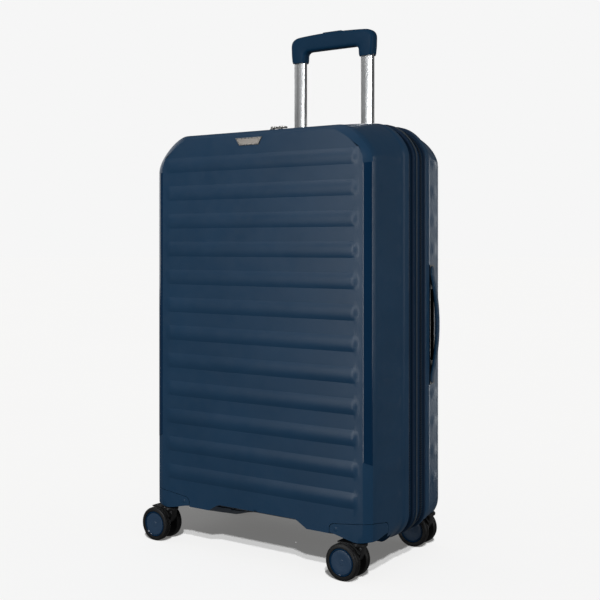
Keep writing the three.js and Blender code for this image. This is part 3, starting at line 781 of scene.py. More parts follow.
def rear_relief(p, outward):
    """A point of the rear half with the ribs' relief, which leaves out the side handle's place."""
    x, y, z = p
    if y == BACK_Y:
        return (x, y + outward * (rib(x, z, REAR_RIB_END) - RIB_RISE), z)
    handle_lo, handle_hi = HANDLE_ROOM
    if x > 0 and handle_lo < z < handle_hi:
        return p
    return side_relief(p, REAR_SHOULDER_Y - 2, BACK_Y - BACK_ROUND + 4)


def rear_solid(wall=0.0, fine=False):
    """The rear half moved in by wall."""
    columns, rows = grid_lines(REAR_CORE, SHELL_LOW + 40, LAST_RIB_TOP + 1.5, fine)
    return ringed_solid(columns, rows, 1, BACK_Y - wall, rear_rings(wall, fine),
                        rear_relief if fine else None)


# ---------------------------------------------------------------- rooms for casters, housings, handles

HOUSING_X = local_box("caster_housing_fr")[0][0]
WHEEL_ROOM = 61.0       # from a caster's axis to the walls of its room
WHEEL_ROOM_TOP = 64.0
BELOW = -30             # lower than anything that is cut
FAR = 420.0             # past the case in any direction but up
SEAM = 0.8              # gap round a housing


def caster_axis(label):
    return joint_at(f"caster_{label}_swivel")


def housing_shape(side, front, grow=0.0):
    """The part of a lower corner that a caster housing fills: two crossed profiles."""
    inner = HOUSING_X - grow
    lid_back, rear_front = node_box("caster_housing_fr")[1][1], node_box("caster_housing_rr")[0][1]
    low, r = 30, 9
    top = SHELL_LOW + 42 + grow
    across = [(inner, low), *arc(inner + r, top - r + 0.5, r, 180, 97, 6), (HALF_WIDTH - 13, top + 7.5),
              (HALF_WIDTH + 20, top + 10), (HALF_WIDTH + 20, low)]
    across = [(side * x, z) for x, z in across]
    end = lid_back + grow if front else rear_front - grow
    away = -1 if front else 1
    curve = [(end + away * (r + u), top - r + 3 + v) for u, v in arc(0, 0, r, 180, 95, 6)]
    along = [(end, low), *curve, (end + away * 52, top + 10), (end + away * 90, top + 11),
             (end + away * 90, low)]
    first = make_object("across", prism(across, "y", -FAR, FAR))
    return boolean(first, "INTERSECT", prism(along, "x", -FAR, FAR))


def wheel_room(side, front, grow=0.0):
    """The corner below a housing, open for the caster to swivel in."""
    x, y, _ = caster_axis("fr" if front else "rr")
    inner = x - WHEEL_ROOM - grow
    edge = y + WHEEL_ROOM + grow if front else y - WHEEL_ROOM + 3 - grow
    xs = (inner, FAR) if side > 0 else (-FAR, -inner)
    ys = (-FAR, edge) if front else (edge, FAR)
    return block((xs[0], ys[0], BELOW), (xs[1], ys[1], WHEEL_ROOM_TOP + grow))


def cut_corners(thing, front, grow=0.0):
    """A shell or lining without its two lower corners, where the housings and casters are."""
    for side in (-1, 1):
        boolean(thing, "DIFFERENCE", wheel_room(side, front, grow))
        boolean(thing, "DIFFERENCE", housing_shape(side, front, grow + SEAM))
    return thing


def under_housing(label):
    """The space below a housing: its underside draws down to a round neck that the caster turns on."""
    x, y, _ = caster_axis(label)
    funnel = [(84, 74), (60, 72.5), (44, 70.3), (32, 67.6), (22, 65.2), (15, 63.6), (11, 62.5), (9.5, 62)]
    return turned([(0, BELOW), (84, BELOW), *funnel, (0, 62)], "z", (x, y, 0), 64)


def screw_cap(side):
    """The round plug over a front housing's screw."""
    x, z = side * (HOUSING_X + 12), SHELL_LOW + 34
    profile = ((0, 3), (3.7, 3), (3.7, -0.1), (3.1, -0.4), (1.3, -0.4), (0.9, 0.2), (0, 0.2))
    return turned([(r, FACE_Y + y) for r, y in profile], "y", (x, 0, z), 28)


def make_shell(name, node, body, solid, whole, front, sides):
    """A hollow half with its two housings. whole is the half before its underside is cut."""
    shell = cut_corners(make_object(name, solid(0, True)), front)
    boolean(shell, "DIFFERENCE", cut_corners(make_object("cavity", solid(WALL)), front, WALL))
    for cut in [] if front else handle_rooms():
        boolean(shell, "DIFFERENCE", cut)
    add_piece(name, body, SHELL, shell, node, sharp=12)
    for label, side in sides:
        housing = boolean(make_object("housing", whole), "INTERSECT", housing_shape(side, front))
        boolean(housing, "DIFFERENCE", under_housing(label))
        add_piece(f"housing_{label}", body, SHELL, housing, f"caster_housing_{label}", sharp=20)
        if front:
            add_piece(f"screw_cap_{label}", body, SHELL, screw_cap(side))


SIDE_HANDLE_Y = REAR_RIM_Y + 26.2
SIDE_HANDLE_SINK = 1.62         # how far the side leans in there


def frame_of(handle):
    """A carry handle's own frame: origin on the shell, out of it, and its width and length axes."""
    lo, hi = local_box(f"{handle}_base")
    out = Vector(JOINTS[f"{handle}_lift"]["axis"])
    x, y, z = ((a + b) / 2 for a, b in zip(lo, hi))
    if handle == "top_handle":
        return Vector((x, y, SHELL_TOP)), out, Vector((0, 1, 0)), Vector((1, 0, 0))
    seat = Vector((HALF_WIDTH - SIDE_INSET - SIDE_HANDLE_SINK, SIDE_HANDLE_Y, z))
    return seat, out, Vector((-out.y, out.x, 0)), Vector((0, 0, 1))


def in_frame(handle, part):
    """A part drawn as (along, across, out) in a handle's frame."""
    origin, out, across, along = frame_of(handle)
    return [tuple(origin + along * p[0] + across * p[1] + out * p[2]) for p in part[0]], part[1]


def handle_rooms():
    """Cut-outs of the rear shell for the pull handle's tray and the two carry handles."""
    lo, hi = local_box("handle_bezel")
    gap = 0.3
    rooms = [block((lo[0] - gap, lo[1] - gap, lo[2]), (hi[0] + gap, hi[1] + gap, hi[2] + 20))]
    for handle, half_length, half_width in (("side_handle", 92, 10.5), ("top_handle", 85, 11)):
        cut = block((-half_length, -half_width, -40), (half_length, half_width, 12))
        rooms.append(in_frame(handle, cut))
    return rooms


make_shell("lid_shell", "front_shell", "lid", lid_solid, lid_solid(0, True, False), True,
           (("fl", -1), ("fr", 1)))
make_shell("back_shell", "rear_shell", "root", rear_solid, rear_solid(0, True), False,
           (("rl", -1), ("rr", 1)))

# ---------------------------------------------------------------- linings

LINING_GAP = 0.5
LINING = 1.2


def lining(solid, front):
    """A cloth skin inside one half, up to just short of its rim."""
    near, far = WALL + LINING_GAP, WALL + LINING_GAP + LINING
    body = cut_corners(make_object("lining", solid(near)), front, near)
    boolean(body, "DIFFERENCE", cut_corners(make_object("room", solid(far)), front, far))
    start, end = (-FAR, LID_RIM_Y - 3) if front else (REAR_RIM_Y + 3, FAR)
    boolean(body, "INTERSECT", block((-FAR, start, 0), (FAR, end, FAR * 3)))
    for cut in [] if front else handle_rooms():
        boolean(body, "DIFFERENCE", cut)
    return body


add_piece("lid_lining", "lid", LINING_CLOTH, lining(lid_solid, True), sharp=40)
add_piece("back_lining", "root", LINING_CLOTH, lining(rear_solid, False), sharp=40)

# ---------------------------------------------------------------- the soft band between the halves

BAND_COLUMNS, BAND_ROWS = grid_lines(LID_CORE, SHELL_LOW + 56, SHELL_TOP - 49, False)
SHIFT_Y = LID_RIM_Y + 15        # the band's profile is drawn from the middle of the front piping


def around(profile):
    """A closed profile of (inset, y) carried round the case's outline."""
    return loft([[(x, y + SHIFT_Y, z) for x, z in Outline(inset).points(BAND_COLUMNS, BAND_ROWS)]
                 for inset, y in profile], loop=True)


def bead(inset, y, radius, sides=14):
    """A round cord along the case's outline."""
    return around([(inset + u, y + v) for u, v in arc(0, 0, radius, 0, 360, sides)[:-1]])


def outline_walk(inset, pitch, offset=0.0):
    """Points and directions every pitch along the case's outline."""
    ring = Outline(inset).points(BAND_COLUMNS, BAND_ROWS)
    lengths = [math.dist(p, q) for p, q in zip(ring, ring[1:] + ring[:1])]
    count = int(sum(lengths) / pitch)
    step, walked, edge = sum(lengths) / count, 0.0, 0
    for k in range(count):
        target = (k + offset) * step
        while walked + lengths[edge] < target:
            walked += lengths[edge]
            edge += 1
        p, q = ring[edge], ring[(edge + 1) % len(ring)]
        length = lengths[edge]
        t = (target - walked) / length
        at = lerp(p[0], q[0], t), lerp(p[1], q[1], t)
        yield at, ((q[0] - p[0]) / length, (q[1] - p[1]) / length)


def teeth(inset, near, far, offset, width=1.15, pitch=2.7, thick=1.7):
    """One row of zip teeth, from y near, on the tape, to y far, where each has its bulb."""
    points, faces = [], []
    mid = lerp(near, far, 0.55)
    for (x, z), (dx, dz) in outline_walk(inset, pitch, offset):
        base = len(points)
        for y, grow in ((near, 0.8), (mid, 0.75), (lerp(mid, far, 0.5), 1.15), (far, 0.8)):
            for along, out in ((-1, -1), (1, -1), (1, 1), (-1, 1)):
                a, o = along * width / 2 * grow, out * thick / 2
                points.append((x + dx * a + dz * o, y + SHIFT_Y, z + dz * a - dx * o))
        for r in range(3):
            for i in range(4):
                k = (i + 1) % 4
                row = base + 4 * r
                faces.append([row + i, row + k, row + 4 + k, row + 4 + i])
        faces.append([base + 3, base + 2, base + 1, base])
        faces.append([base + 12 + i for i in range(4)])
    return points, faces


# Sections of the band as (inset, y).
FRONT_BAND = [(4.3, -8.6), (4.3, -4.6), (1.9, -2.6), (1.7, 8.3), (1.0, 8.7), (0.6, 9.4), (0.6, 14.2),
              (1.0, 14.9), (1.7, 15.3), (1.7, 21.6), (2.2, 22.4), (3.0, 22.8), (3.1, 29.5), (4.9, 29.5),
              (5.4, -8.6)]
REAR_BAND = [(3.1, 30.3), (3.0, 36.4), (2.0, 37.2), (2.0, 43.0), (4.9, 43.0), (4.9, 30.3)]


def gusset():
    """The bellows of the expansion gusset, drawn as a fixed zigzag of folds. On the real case they unfold
    when the expansion zip is open.
    """
    lo, hi = local_box("expansion_gusset")
    folds = 8
    zigzag = [(6.2 + 2.6 * (k % 2), lerp(lo[1], hi[1], k / folds) - SHIFT_Y) for k in range(folds + 1)]
    return around(zigzag + [(inset + 0.9, y) for inset, y in reversed(zigzag)])


add_piece("lid_zip_tape", "lid", TAPE, around([(4.3, -14.9), (4.3, -9.5), (5.4, -9.5), (5.4, -14.9)]),
          "lid_zip")
add_piece("lid_zip_teeth", "lid", COIL, teeth(4.2, -12.4, -8.3, 0.25))
add_piece("band_fabric_front", "zip_frame", FABRIC, around(FRONT_BAND), "front_band")
add_piece("frame_zip_teeth", "zip_frame", COIL, teeth(4.2, -5.8, -9.7, 0.75))
add_piece("piping_front", "zip_frame", PIPING, bead(2.5, 0, 3.3))
# A raised cord painted light grey: partly its own colour, partly a painted highlight line.
add_piece("highlight_cord", "zip_frame", HIGHLIGHT_CORD, bead(0.9, 11.8, 1.5))
add_piece("expansion_teeth_front", "zip_frame", COIL, teeth(2.6, 25.4, 30.4, 0.25, 1.3, 3.0))
add_piece("band_fabric_rear", "root", FABRIC, around(REAR_BAND), "rear_band")
add_piece("expansion_teeth_rear", "root", COIL, teeth(2.6, 34.4, 29.4, 0.75, 1.3, 3.0))
add_piece("piping_rear", "root", PIPING, bead(2.6, 40.3, 2.9))
bellows = add_piece("gusset_bellows", None, FABRIC, gusset(), "expansion_gusset")
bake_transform(bellows)

# ---------------------------------------------------------------- zip sliders and pulls


def slider(node):
    """A zip slider: a rounded body with a bridge on it."""
    lo, hi = local_box(node)
    middle = (lo[0] + hi[0]) / 2
    top = lerp(lo[2], hi[2], 0.58)
    body = block((lo[0], lo[1], lo[2]), (hi[0], hi[1], top), 1.2, 3)
    loop_outline = (arc(middle, top, (4.2, hi[2] - top), 0, 180, 10)
                    + arc(middle, top, (2.4, (hi[2] - top) * 0.5), 180, 0, 10))
    bridge = prism(loop_outline, "y", lo[1] + 1.4, hi[1] - 1.4)
    return merge(body, bridge)


def pull(node):
    """A flat tag with a rounded end and a slot."""
    lo, hi = local_box(node)
    middle = (lo[0] + hi[0]) / 2
    outside = rounded_rect(lo[0], hi[0], lo[1], hi[1], 4.5, 5)
    inside = rounded_rect(middle - 2.2, middle + 2.2, hi[1] - 8, hi[1] - 3, 2, 5)
    middle_y = (lo[1] + hi[1]) / 2
    edge = 0.5

    def rim(inset, z):
        across, along = 1 - inset / 6, 1 - inset / 9
        return [(middle + (x - middle) * across, middle_y + (y - middle_y) * along, z) for x, y in outside]

    def hole(z):
        return [(x, y, z) for x, y in inside]

    return loft([rim(0.0, lo[2] + edge), rim(edge, lo[2]), hole(lo[2]), hole(hi[2]), rim(edge, hi[2]),
                 rim(0.0, hi[2] - edge)], loop=True)


for side in ("left", "right"):
    add_piece(f"slider_{side}", f"zip_slider_{side}", NICKEL, slider(f"zip_slider_{side}"),
              f"zip_slider_{side}")
    add_piece(f"pull_{side}", f"zip_pull_{side}", NICKEL, pull(f"zip_pull_{side}"), f"zip_pull_{side}")
add_piece("expansion_slider", "expansion_zip_slider", NICKEL, slider("expansion_zip_slider"),
          "expansion_zip_slider")

# ---------------------------------------------------------------- badge and lock


def badge():
    """A keystone plate with a raised rim, and the outline of the field inside the rim."""
    lo, hi = local_box("badge")
    slant = (hi[0] - lo[0]) * 0.14

    def keystone(inset, y):
        low_in, high_in = slant + inset * 1.1, inset * 1.9
        low_z, high_z = lo[2] + inset, hi[2] - inset
        return [(lo[0] + low_in, y, low_z), (hi[0] - low_in, y, low_z),
                (hi[0] - high_in, y, high_z), (lo[0] + high_in, y, high_z)]

    depth = hi[1] - lo[1]
    inner = keystone(1.8, lo[1] + depth * 0.3)
    rings = [keystone(0, hi[1]), keystone(0, lo[1] + depth * 0.45), keystone(0.7, lo[1]),
             keystone(1.3, lo[1]), inner]
    return loft(rings), inner


plate, field = badge()
add_piece("badge_plate", "lid", NICKEL, plate, "badge", sharp=15)
field_back = [(x, y + 0.3, z) for x, y, z in field]
field_front = [(x, y - 0.06, z) for x, y, z in field]
add_piece("badge_field", "lid", BADGE, loft([field_back, field_front]), sharp=15)


DIAL_SIDES = 80


def dial(node):
    """A number wheel with ten finger hollows."""
    lo, hi = local_box(node)
    centre = (0, (lo[1] + hi[1]) / 2, (lo[2] + hi[2]) / 2)
    radius = (hi[2] - lo[2]) / 2
    rings = []
    for x, inset in ((lo[0], 0.9), (lo[0] + 0.5, 0), (hi[0] - 0.5, 0), (hi[0], 0.9)):
        ring = []
        for k in range(DIAL_SIDES):
            a = 2 * math.pi * k / DIAL_SIDES
            r = radius - inset - 0.45 * max(0, math.cos(10 * a)) ** 3
            ring.append((x, centre[1] + r * math.cos(a), centre[2] + r * math.sin(a)))
        rings.append(ring)
    return loft(rings)


for number in (1, 2, 3):
    add_piece(f"dial_{number}", f"lock_dial_{number}", NICKEL, dial(f"lock_dial_{number}"),
              f"lock_dial_{number}")
button_lo, button_hi = local_box("lock_button")
add_piece("lock_release", "lock_button", NICKEL, block(button_lo, button_hi, 0.9, 3), "lock_button")
repaint(BLACK, "lock_housing")

# ---------------------------------------------------------------- pull handle


def squared(angle, power_u, power_v):
    """A point on a circle drawn out towards a square, the more the lower the powers."""
    c, s = math.cos(angle), math.sin(angle)
    return math.copysign(abs(c) ** power_u, c), math.copysign(abs(s) ** power_v, s)


CORNER_CUT = 24.0       # of the grip's upper corners
LEG = 16                # from a tube's middle to the inner side of the grip's leg
LEG_LENGTH = 20         # from its foot to the underside of the bar
GRIP_SIDES = 36
grip_lo, grip_hi = local_box("handle_grip")
tube_lo, tube_hi = local_box("inner_tube_right")
TUBE_X = (tube_lo[0] + tube_hi[0]) / 2


def grip():
    """A bar with two legs, lofted from one leg's foot to the other's."""
    half, top, low = grip_hi[0], grip_hi[2] - 1, grip_lo[2]
    middle_y, reach = (grip_lo[1] + grip_hi[1]) / 2, (grip_hi[1] - grip_lo[1]) / 2
    under = low + LEG_LENGTH
    leg = TUBE_X - LEG
    steps = 9
    outer = [(half - 2.4, low), (half - 2.0, low + 4), (half - 0.5, low + 17)]
    inner = [(leg + 0.6, low), (leg + 0.5, low + 4), (leg, under - 10)]
    corner = [(half - CORNER_CUT * (1 - math.cos(a)) ** 1.25, top - 20 + 18.5 * math.sin(a) ** 0.9)
              for a in np.radians(np.linspace(0, 84, steps + 1))]
    outer += corner
    inner += arc(leg - 10, under - 9, (10, 9), 5, 90, steps)
    for t in np.linspace(0.15, 1, 7):
        outer.append((lerp(corner[-1][0], 0, t), lerp(corner[-1][1], top + 1, 1 - (1 - t) ** 2)))
        inner.append((lerp(leg - 10, 0, t), under))
    pairs = list(zip(outer, inner))
    pairs += [((-o[0], o[1]), (-i[0], i[1])) for o, i in reversed(pairs[:-1])]
    rings = []
    for k, (o, i) in enumerate(pairs):
        end = 1 - 0.06 * (k in (0, len(pairs) - 1))
        centre = np.array(((o[0] + i[0]) / 2, (o[1] + i[1]) / 2))
        along = (np.array(o) - centre) * end
        ring = []
        for a in np.linspace(0, 2 * math.pi, GRIP_SIDES + 1)[:-1]:
            u, v = squared(a, 0.42, 0.62)
            p = centre + along * u
            ring.append((p[0], middle_y + v * reach * end, p[1]))
        rings.append(ring)
    return loft(rings)


BUTTON_ROOM = 3.4       # below the button: its travel and a little more
BUTTON_GAP = 0.5
SOCKET_HALF = 14.2      # half the width of a tube's socket in the grip
SOCKET_GAP = 0.25       # in front of and behind the tube
grip_shape = make_object("grip", grip())
press_lo, press_hi = local_box("grip_button")
slot_lo = (press_lo[0] - BUTTON_GAP, press_lo[1] - BUTTON_GAP, press_lo[2] - BUTTON_ROOM)
slot_hi = (press_hi[0] + BUTTON_GAP, press_hi[1] + BUTTON_GAP, press_hi[2] + 20)
boolean(grip_shape, "DIFFERENCE", block(slot_lo, slot_hi))
for sign in (-1, 1):
    socket = rounded_rect(sign * TUBE_X - SOCKET_HALF, sign * TUBE_X + SOCKET_HALF,
                          tube_lo[1] - SOCKET_GAP, tube_hi[1] + SOCKET_GAP, 4.7)
    boolean(grip_shape, "DIFFERENCE", prism(socket, "z", grip_lo[2] - 5, grip_lo[2] + 12.2))
add_piece("grip", "handle", GRIP, grip_shape, "handle_grip", sharp=35)
add_piece("grip_release", "grip_button", GRIP, block(press_lo, press_hi, 1.6, 4), "grip_button")

TUBE_ROUND = 3.6
TUBE_BOW = 0.2          # share of the depth lost at the edges


def inner_tube(node):
    """A tube whose front and back are bowed a little between tight corners."""
    lo, hi = local_box(node)
    middle, half = ((lo[0] + hi[0]) / 2, (lo[1] + hi[1]) / 2), (hi[0] - lo[0]) / 2
    outline = []
    for start, end in ((-1, 1), (1, -1)):
        y = lo[1] if start < 0 else hi[1]
        turn = -90 if start < 0 else 90
        corner = middle[0] + end * (half - TUBE_ROUND), y - start * TUBE_ROUND
        outline += [(middle[0] + x * (half - TUBE_ROUND), y) for x in np.linspace(start, end, 13)[:-1]]
        outline += arc(*corner, TUBE_ROUND, turn, turn + 90, 8)
    bowed = []
    for x, y in outline:
        depth = 1 - TUBE_BOW * ((x - middle[0]) / half) ** 2
        bowed.append((x, middle[1] + (y - middle[1]) * depth))
    return prism(bowed, "z", lo[2], hi[2])


for side in ("left", "right"):
    add_piece(f"tube_{side}", "handle", ALUMINIUM, inner_tube(f"inner_tube_{side}"),
              f"inner_tube_{side}", sharp=60)
repaint(OUTER_TUBE, "outer_tube_left", "outer_tube_right")
repaint(TRAY, "handle_bezel")
repaint(BLACK, "handle_foot", "side_handle_base", "top_handle_base")

# ---------------------------------------------------------------- carry handles


STRAP_SIDES = 28
STRAP_THICK = (2.6, 4.6)        # at its ends and in the middle


def strap(handle, half, width, rise):
    """A flexible handle: flat pads at its ends and a bowed, padded grip between them."""
    rings = []
    stations = [*np.linspace(-half, -half + 30, 9), *np.linspace(-half + 34, half - 34, 30),
                *np.linspace(half - 30, half, 9)]
    for u in stations:
        t = clamp((half - abs(u)) / (half - 8))
        bow = rise * (1 - (u / half) ** 2) * 0.96
        thick = lerp(*STRAP_THICK, min(1, t * 2.2))
        end = min(1.0, math.sqrt(max(0.02, 1 - max(0, abs(u) - half + 6) ** 2 / 36)))
        centre = max(thick / 2 + 0.4, bow - thick / 2)
        ring = []
        for a in np.linspace(0, 2 * math.pi, STRAP_SIDES + 1)[:-1]:
            v, w = squared(a, 0.5, 0.75)
            v = v * width / 2 * end * lerp(1, 0.92, min(1, t * 1.5))
            ring.append((u, v, centre + w * thick / 2))
        rings.append(ring)
    return in_frame(handle, loft(rings))


POST_HALF = 4.6


def posts(handle, half):
    """Two posts that hold the strap's ends in the case."""
    parts = []
    for middle in (16 - half, half - 16):
        low, high = (middle - POST_HALF, -POST_HALF, -9), (middle + POST_HALF, POST_HALF, 1.6)
        parts.append(block(low, high, 0.6))
    return in_frame(handle, merge(*parts))


for handle, half, width, rise in (("side_handle", 102, 19, 14.2), ("top_handle", 95, 20, 9.6)):
    add_piece(f"{handle}_strap", handle, GRIP, strap(handle, half, width, rise), handle, sharp=50)
    add_piece(f"{handle}_posts", handle, BLACK, posts(handle, half))

# ---------------------------------------------------------------- casters

WHEEL_R = 30.0
BORE = 3.1
HUB = 10.4              # the hub's width
GROOVES = (4.6, 6.5, 8.4)       # in the tread


def wheel_profile(y, out):
    """Tyre section as (radius, y): y is the wheel's inner face, out the way to its outer face."""
    section = [(BORE, 0), (26, 0), (28.4, 0.5), (29.6, 1.6), (WHEEL_R, 3.2)]
    for groove in GROOVES:
        section += [(WHEEL_R, groove - 0.35), (29.6, groove - 0.2), (29.6, groove + 0.2),
                    (WHEEL_R, groove + 0.35)]
    section += [(WHEEL_R, 9.8), (29.6, 11.3), (28.2, 12.5), (25.4, 13), (23.3, 12.9), (22.8, 12.3),
                (22.8, HUB), (BORE, HUB), (BORE, 0)]
    return [(r, y + out * a) for r, a in section]


# Half sections of a cap's disc and of the glossy ring round it, as (radius, height).
CAP_DISC = [(0, 0), (19.4, 0), (19.4, 1.0), (18.6, 1.15), (12, 0.8), (4.6, 0.7), (4.2, 0.95), (0, 1.0)]
CAP_RING = [(19.6, 0), (22.3, 0), (22.3, 1.3), (21.8, 1.75), (20.6, 1.75), (19.8, 1.2), (19.6, 0)]
CAP_GAP = 0.3           # between the hub and its cap


def add_wheel(label, end):
    """One of a caster's two wheels: tyre, cap and ring."""
    node = f"wheel_{label}_{end}"
    lo, hi = local_box(node)
    centre = ((lo[0] + hi[0]) / 2, 0, (lo[2] + hi[2]) / 2)
    y, out = (hi[1], -1) if end == "front" else (lo[1], 1)

    def on_hub(section):
        return turned([(r, y + out * (HUB + CAP_GAP + a)) for r, a in section], "y", centre, 64)

    tyre = turned(wheel_profile(y, out), "y", centre, 72)
    add_piece(f"tyre_{label}_{end}", node, TYRE, tyre, node, sharp=25)
    add_piece(f"cap_{label}_{end}", node, CAP, on_hub(CAP_DISC), f"hub_cap_{label}_{end}", sharp=25)
    add_piece(f"cap_rim_{label}_{end}", node, TRIM, on_hub(CAP_RING), sharp=25)


TRAIL = 22              # from the swivel axis back to the wheels' axle
FORK_TOP = 61.2
GUARD = (31, 33.6)      # radii of the mudguards
GUARD_TURN = (28, 112)  # where they start and end


def fork(x, y):
    """A web between the two wheels under a round crown, with a short mudguard over each wheel."""
    axle, top = x - TRAIL, FORK_TOP
    web = [(x + 9, top), (x - 9, top), (axle - 4, top - 4), (axle - 11, top - 14),
           (axle - 12, WHEEL_R + 4), *arc(axle, WHEEL_R, 11, 180, 315, 10),
           (x + 3, WHEEL_R + 4), (x + 7.5, WHEEL_R + 16)]
    crown = [(0, top - 5), (12.6, top - 5), (13.4, top - 4), (13.4, top - 1), (12.6, top), (0, top)]
    outside = arc(axle, WHEEL_R, GUARD[1], *GUARD_TURN, 14)
    inside = arc(axle, WHEEL_R, GUARD[0], *GUARD_TURN[::-1], 14)
    guard = [(px, min(pz, top)) for px, pz in outside] + [(px, min(pz, top - 2)) for px, pz in inside]
    return merge(prism(web, "y", y - 7.4, y + 7.4, 1.3), turned(crown, "z", (x, y, 0), 40),
                 prism(guard, "y", y - 13, y + 13))


for label in ("fl", "fr", "rl", "rr"):
    for end in ("front", "back"):
        add_wheel(label, end)
    x, y, _ = caster_axis(label)
    add_piece(f"fork_{label}", f"caster_{label}", BLACK, fork(x, y), f"caster_fork_{label}", sharp=25)
    repaint(STEEL, f"caster_axle_{label}")


# The inlay's section: shares of the way across the facet, and heights above it.
STRIP_SECTION = ((0, 0.05), (0.1, 0.75), (0.3, 0.95), (0.5, 1.0), (0.7, 0.95), (0.9, 0.75), (1, 0.05),
                 (0.5, -1))
STRIP_SLANT = 5         # how far the slanted end climbs across the strip


def corner_strip(side):
    """A glossy inlay on the facet between the lid's face and side, cut off at a slant."""
    lo, hi = local_box("corner_strip_right")
    inner, outer = (HALF_WIDTH - FACE_INSET, FACE_Y), (HALF_WIDTH - FACET[0], FACE_Y + FACET[1])
    rings = []
    for z, tilt in ((lo[2], 1), (hi[2], -0.3)):
        ring = []
        for t, out in STRIP_SECTION:
            lift = out + (FACET_SWELL * math.sin(math.pi * t) if out > 0 else 0)
            x = lerp(inner[0], outer[0], t) + FACET_OUT[0] * lift
            y = lerp(inner[1], outer[1], t) - FACET_OUT[1] * lift
            ring.append((side * x, y, z + tilt * (1 - t) * STRIP_SLANT))
        rings.append(ring)
    return loft(rings)


for side, name in ((1, "right"), (-1, "left")):
    add_piece(f"strip_{name}", "lid", TRIM, corner_strip(side), f"corner_strip_{name}", sharp=40)

# ---------------------------------------------------------------- inside the case


def panel(x0, x1, y, z0, z1, thick, bulge=0.0, columns=24, rows=40):
    """A cloth panel that bulges a little between its sewn edges."""
    points, faces = [], []
    for layer in (0, 1):
        for r in range(rows + 1):
            for c in range(columns + 1):
                u, v = c / columns, r / rows
                swell = bulge * (4 * u * (1 - u)) ** 0.6 * (4 * v * (1 - v)) ** 0.6
                gather = 0.5 * math.sin(u * 90) * (1 - v) ** 6 + 0.7 * math.sin(u * 75) * v ** 10
                depth = swell + gather * bulge / 6 + layer * thick
                points.append((lerp(x0, x1, u), y + depth, lerp(z0, z1, v)))
    stride = (columns + 1) * (rows + 1)
    for r in range(rows):
        for c in range(columns):
            a = r * (columns + 1) + c
            quad = [a, a + 1, a + columns + 2, a + columns + 1]
            faces.append(quad)
            faces.append([stride + k for k in reversed(quad)])
    edge = ([c for c in range(columns)] + [columns + r * (columns + 1) for r in range(rows)]
            + [rows * (columns + 1) + c for c in range(columns, 0, -1)]
            + [r * (columns + 1) for r in range(rows, 0, -1)])
    for k, a in enumerate(edge):
        b = edge[(k + 1) % len(edge)]
        faces.append([b, a, stride + a, stride + b])
    return points, faces


def tube_cover():
    """A cloth duct over the telescoping tubes."""
    z0, z1 = local_box("handle_foot")[1][2] + 2, local_box("handle_bezel")[0][2] - 2
    near = local_box("outer_tube_left")[0][1] - 3.5
    far = BACK_Y - WALL - LINING_GAP - LINING - 0.3
    outside = [(-124, far), (-106, near + 2), (-102, near), (102, near), (106, near + 2), (124, far)]
    inside = [(x * 0.985, y + 1.2) for x, y in reversed(outside)]
    return prism(outside + inside, "z", z0, z1)


def webbing(start, end, y, width=25.0, thick=1.3):
    """A flat strap between two points (x, z) in a plane of constant y."""
    direction = Vector((end[0] - start[0], 0, end[1] - start[1])).normalized()
    side = Vector((-direction.z, 0, direction.x)) * width / 2
    rings = []
    for t in np.linspace(0, 1, 12):
        centre = Vector((lerp(start[0], end[0], t), y, lerp(start[1], end[1], t)))
        rings.append([tuple(centre + side * a + Vector((0, b, 0)))
                      for a, b in ((-1, 0), (-0.9, -0.3), (0.9, -0.3), (1, 0), (1, thick), (-1, thick))])
    return loft(rings)


STRAP_Y = local_box("outer_tube_left")[0][1] - 7
STRAP_X = 200           # where the straps are sewn in
STRAP_LOW, STRAP_HIGH = 135, 655
BUCKLE_Z = (STRAP_LOW + STRAP_HIGH) / 2


def buckle(y):
    """Side-release buckle where the four straps meet."""
    body = block((-19, y - 3, -27), (19, y + 3.4, 27), 2.4, 3)
    prongs = [block((s * 12 - 3, y - 3.4, -13), (s * 12 + 3, y - 2.4, 13), 0.5) for s in (-1, 1)]
    lip = block((-14, y - 3.6, 18), (14, y - 2.6, 22), 0.4)
    points, faces = merge(body, *prongs, lip)
    return [(x, y, z + BUCKLE_Z) for x, y, z in points], faces


def binding(lo, hi):
    """The pocket's bound edge: four strips of cloth, each given by two corners in x and z."""
    strips = (((lo[0] - 2, hi[2] - 8), (hi[0] + 2, hi[2] + 8)),
              ((lo[0] - 6, lo[2] - 4), (lo[0] + 4, hi[2] + 8)),
              ((hi[0] - 4, lo[2] - 4), (hi[0] + 6, hi[2] + 8)),
              ((lo[0] - 6, lo[2] - 6), (hi[0] + 6, lo[2] + 5)))
    return merge(*[block((a[0], lo[1], a[1]), (b[0], hi[1] + 0.8, b[1]), 1) for a, b in strips])


pocket_lo, pocket_hi = local_box("lid_pocket")
net = panel(pocket_lo[0], pocket_hi[0], pocket_lo[1] + 1.2, pocket_lo[2], pocket_hi[2], 0.8, 2.0)
pocket = add_piece("pocket_panel", "lid", NET, net, "lid_pocket", sharp=60)
add_piece("pocket_binding", "lid", FABRIC, binding(pocket_lo, pocket_hi))
add_piece("tube_cover", "root", LINING_CLOTH, tube_cover(), sharp=40)
for k, (side, up) in enumerate([(-1, 1), (1, 1), (-1, -1), (1, -1)]):
    sewn = (side * STRAP_X, STRAP_HIGH if up > 0 else STRAP_LOW)
    held = (side * 12, BUCKLE_Z + up * 24)
    add_piece(f"cross_strap_{k + 1}", "root", FABRIC, webbing(sewn, held, STRAP_Y))
add_piece("strap_buckle", "root", BLACK, buckle(STRAP_Y))

# ---------------------------------------------------------------- stage, lights, camera


FLOOR_RADII = (0.001, 1, 4, 40)         # metres
FLOOR_GLOW = 0.145      # lifts the floor's shadow


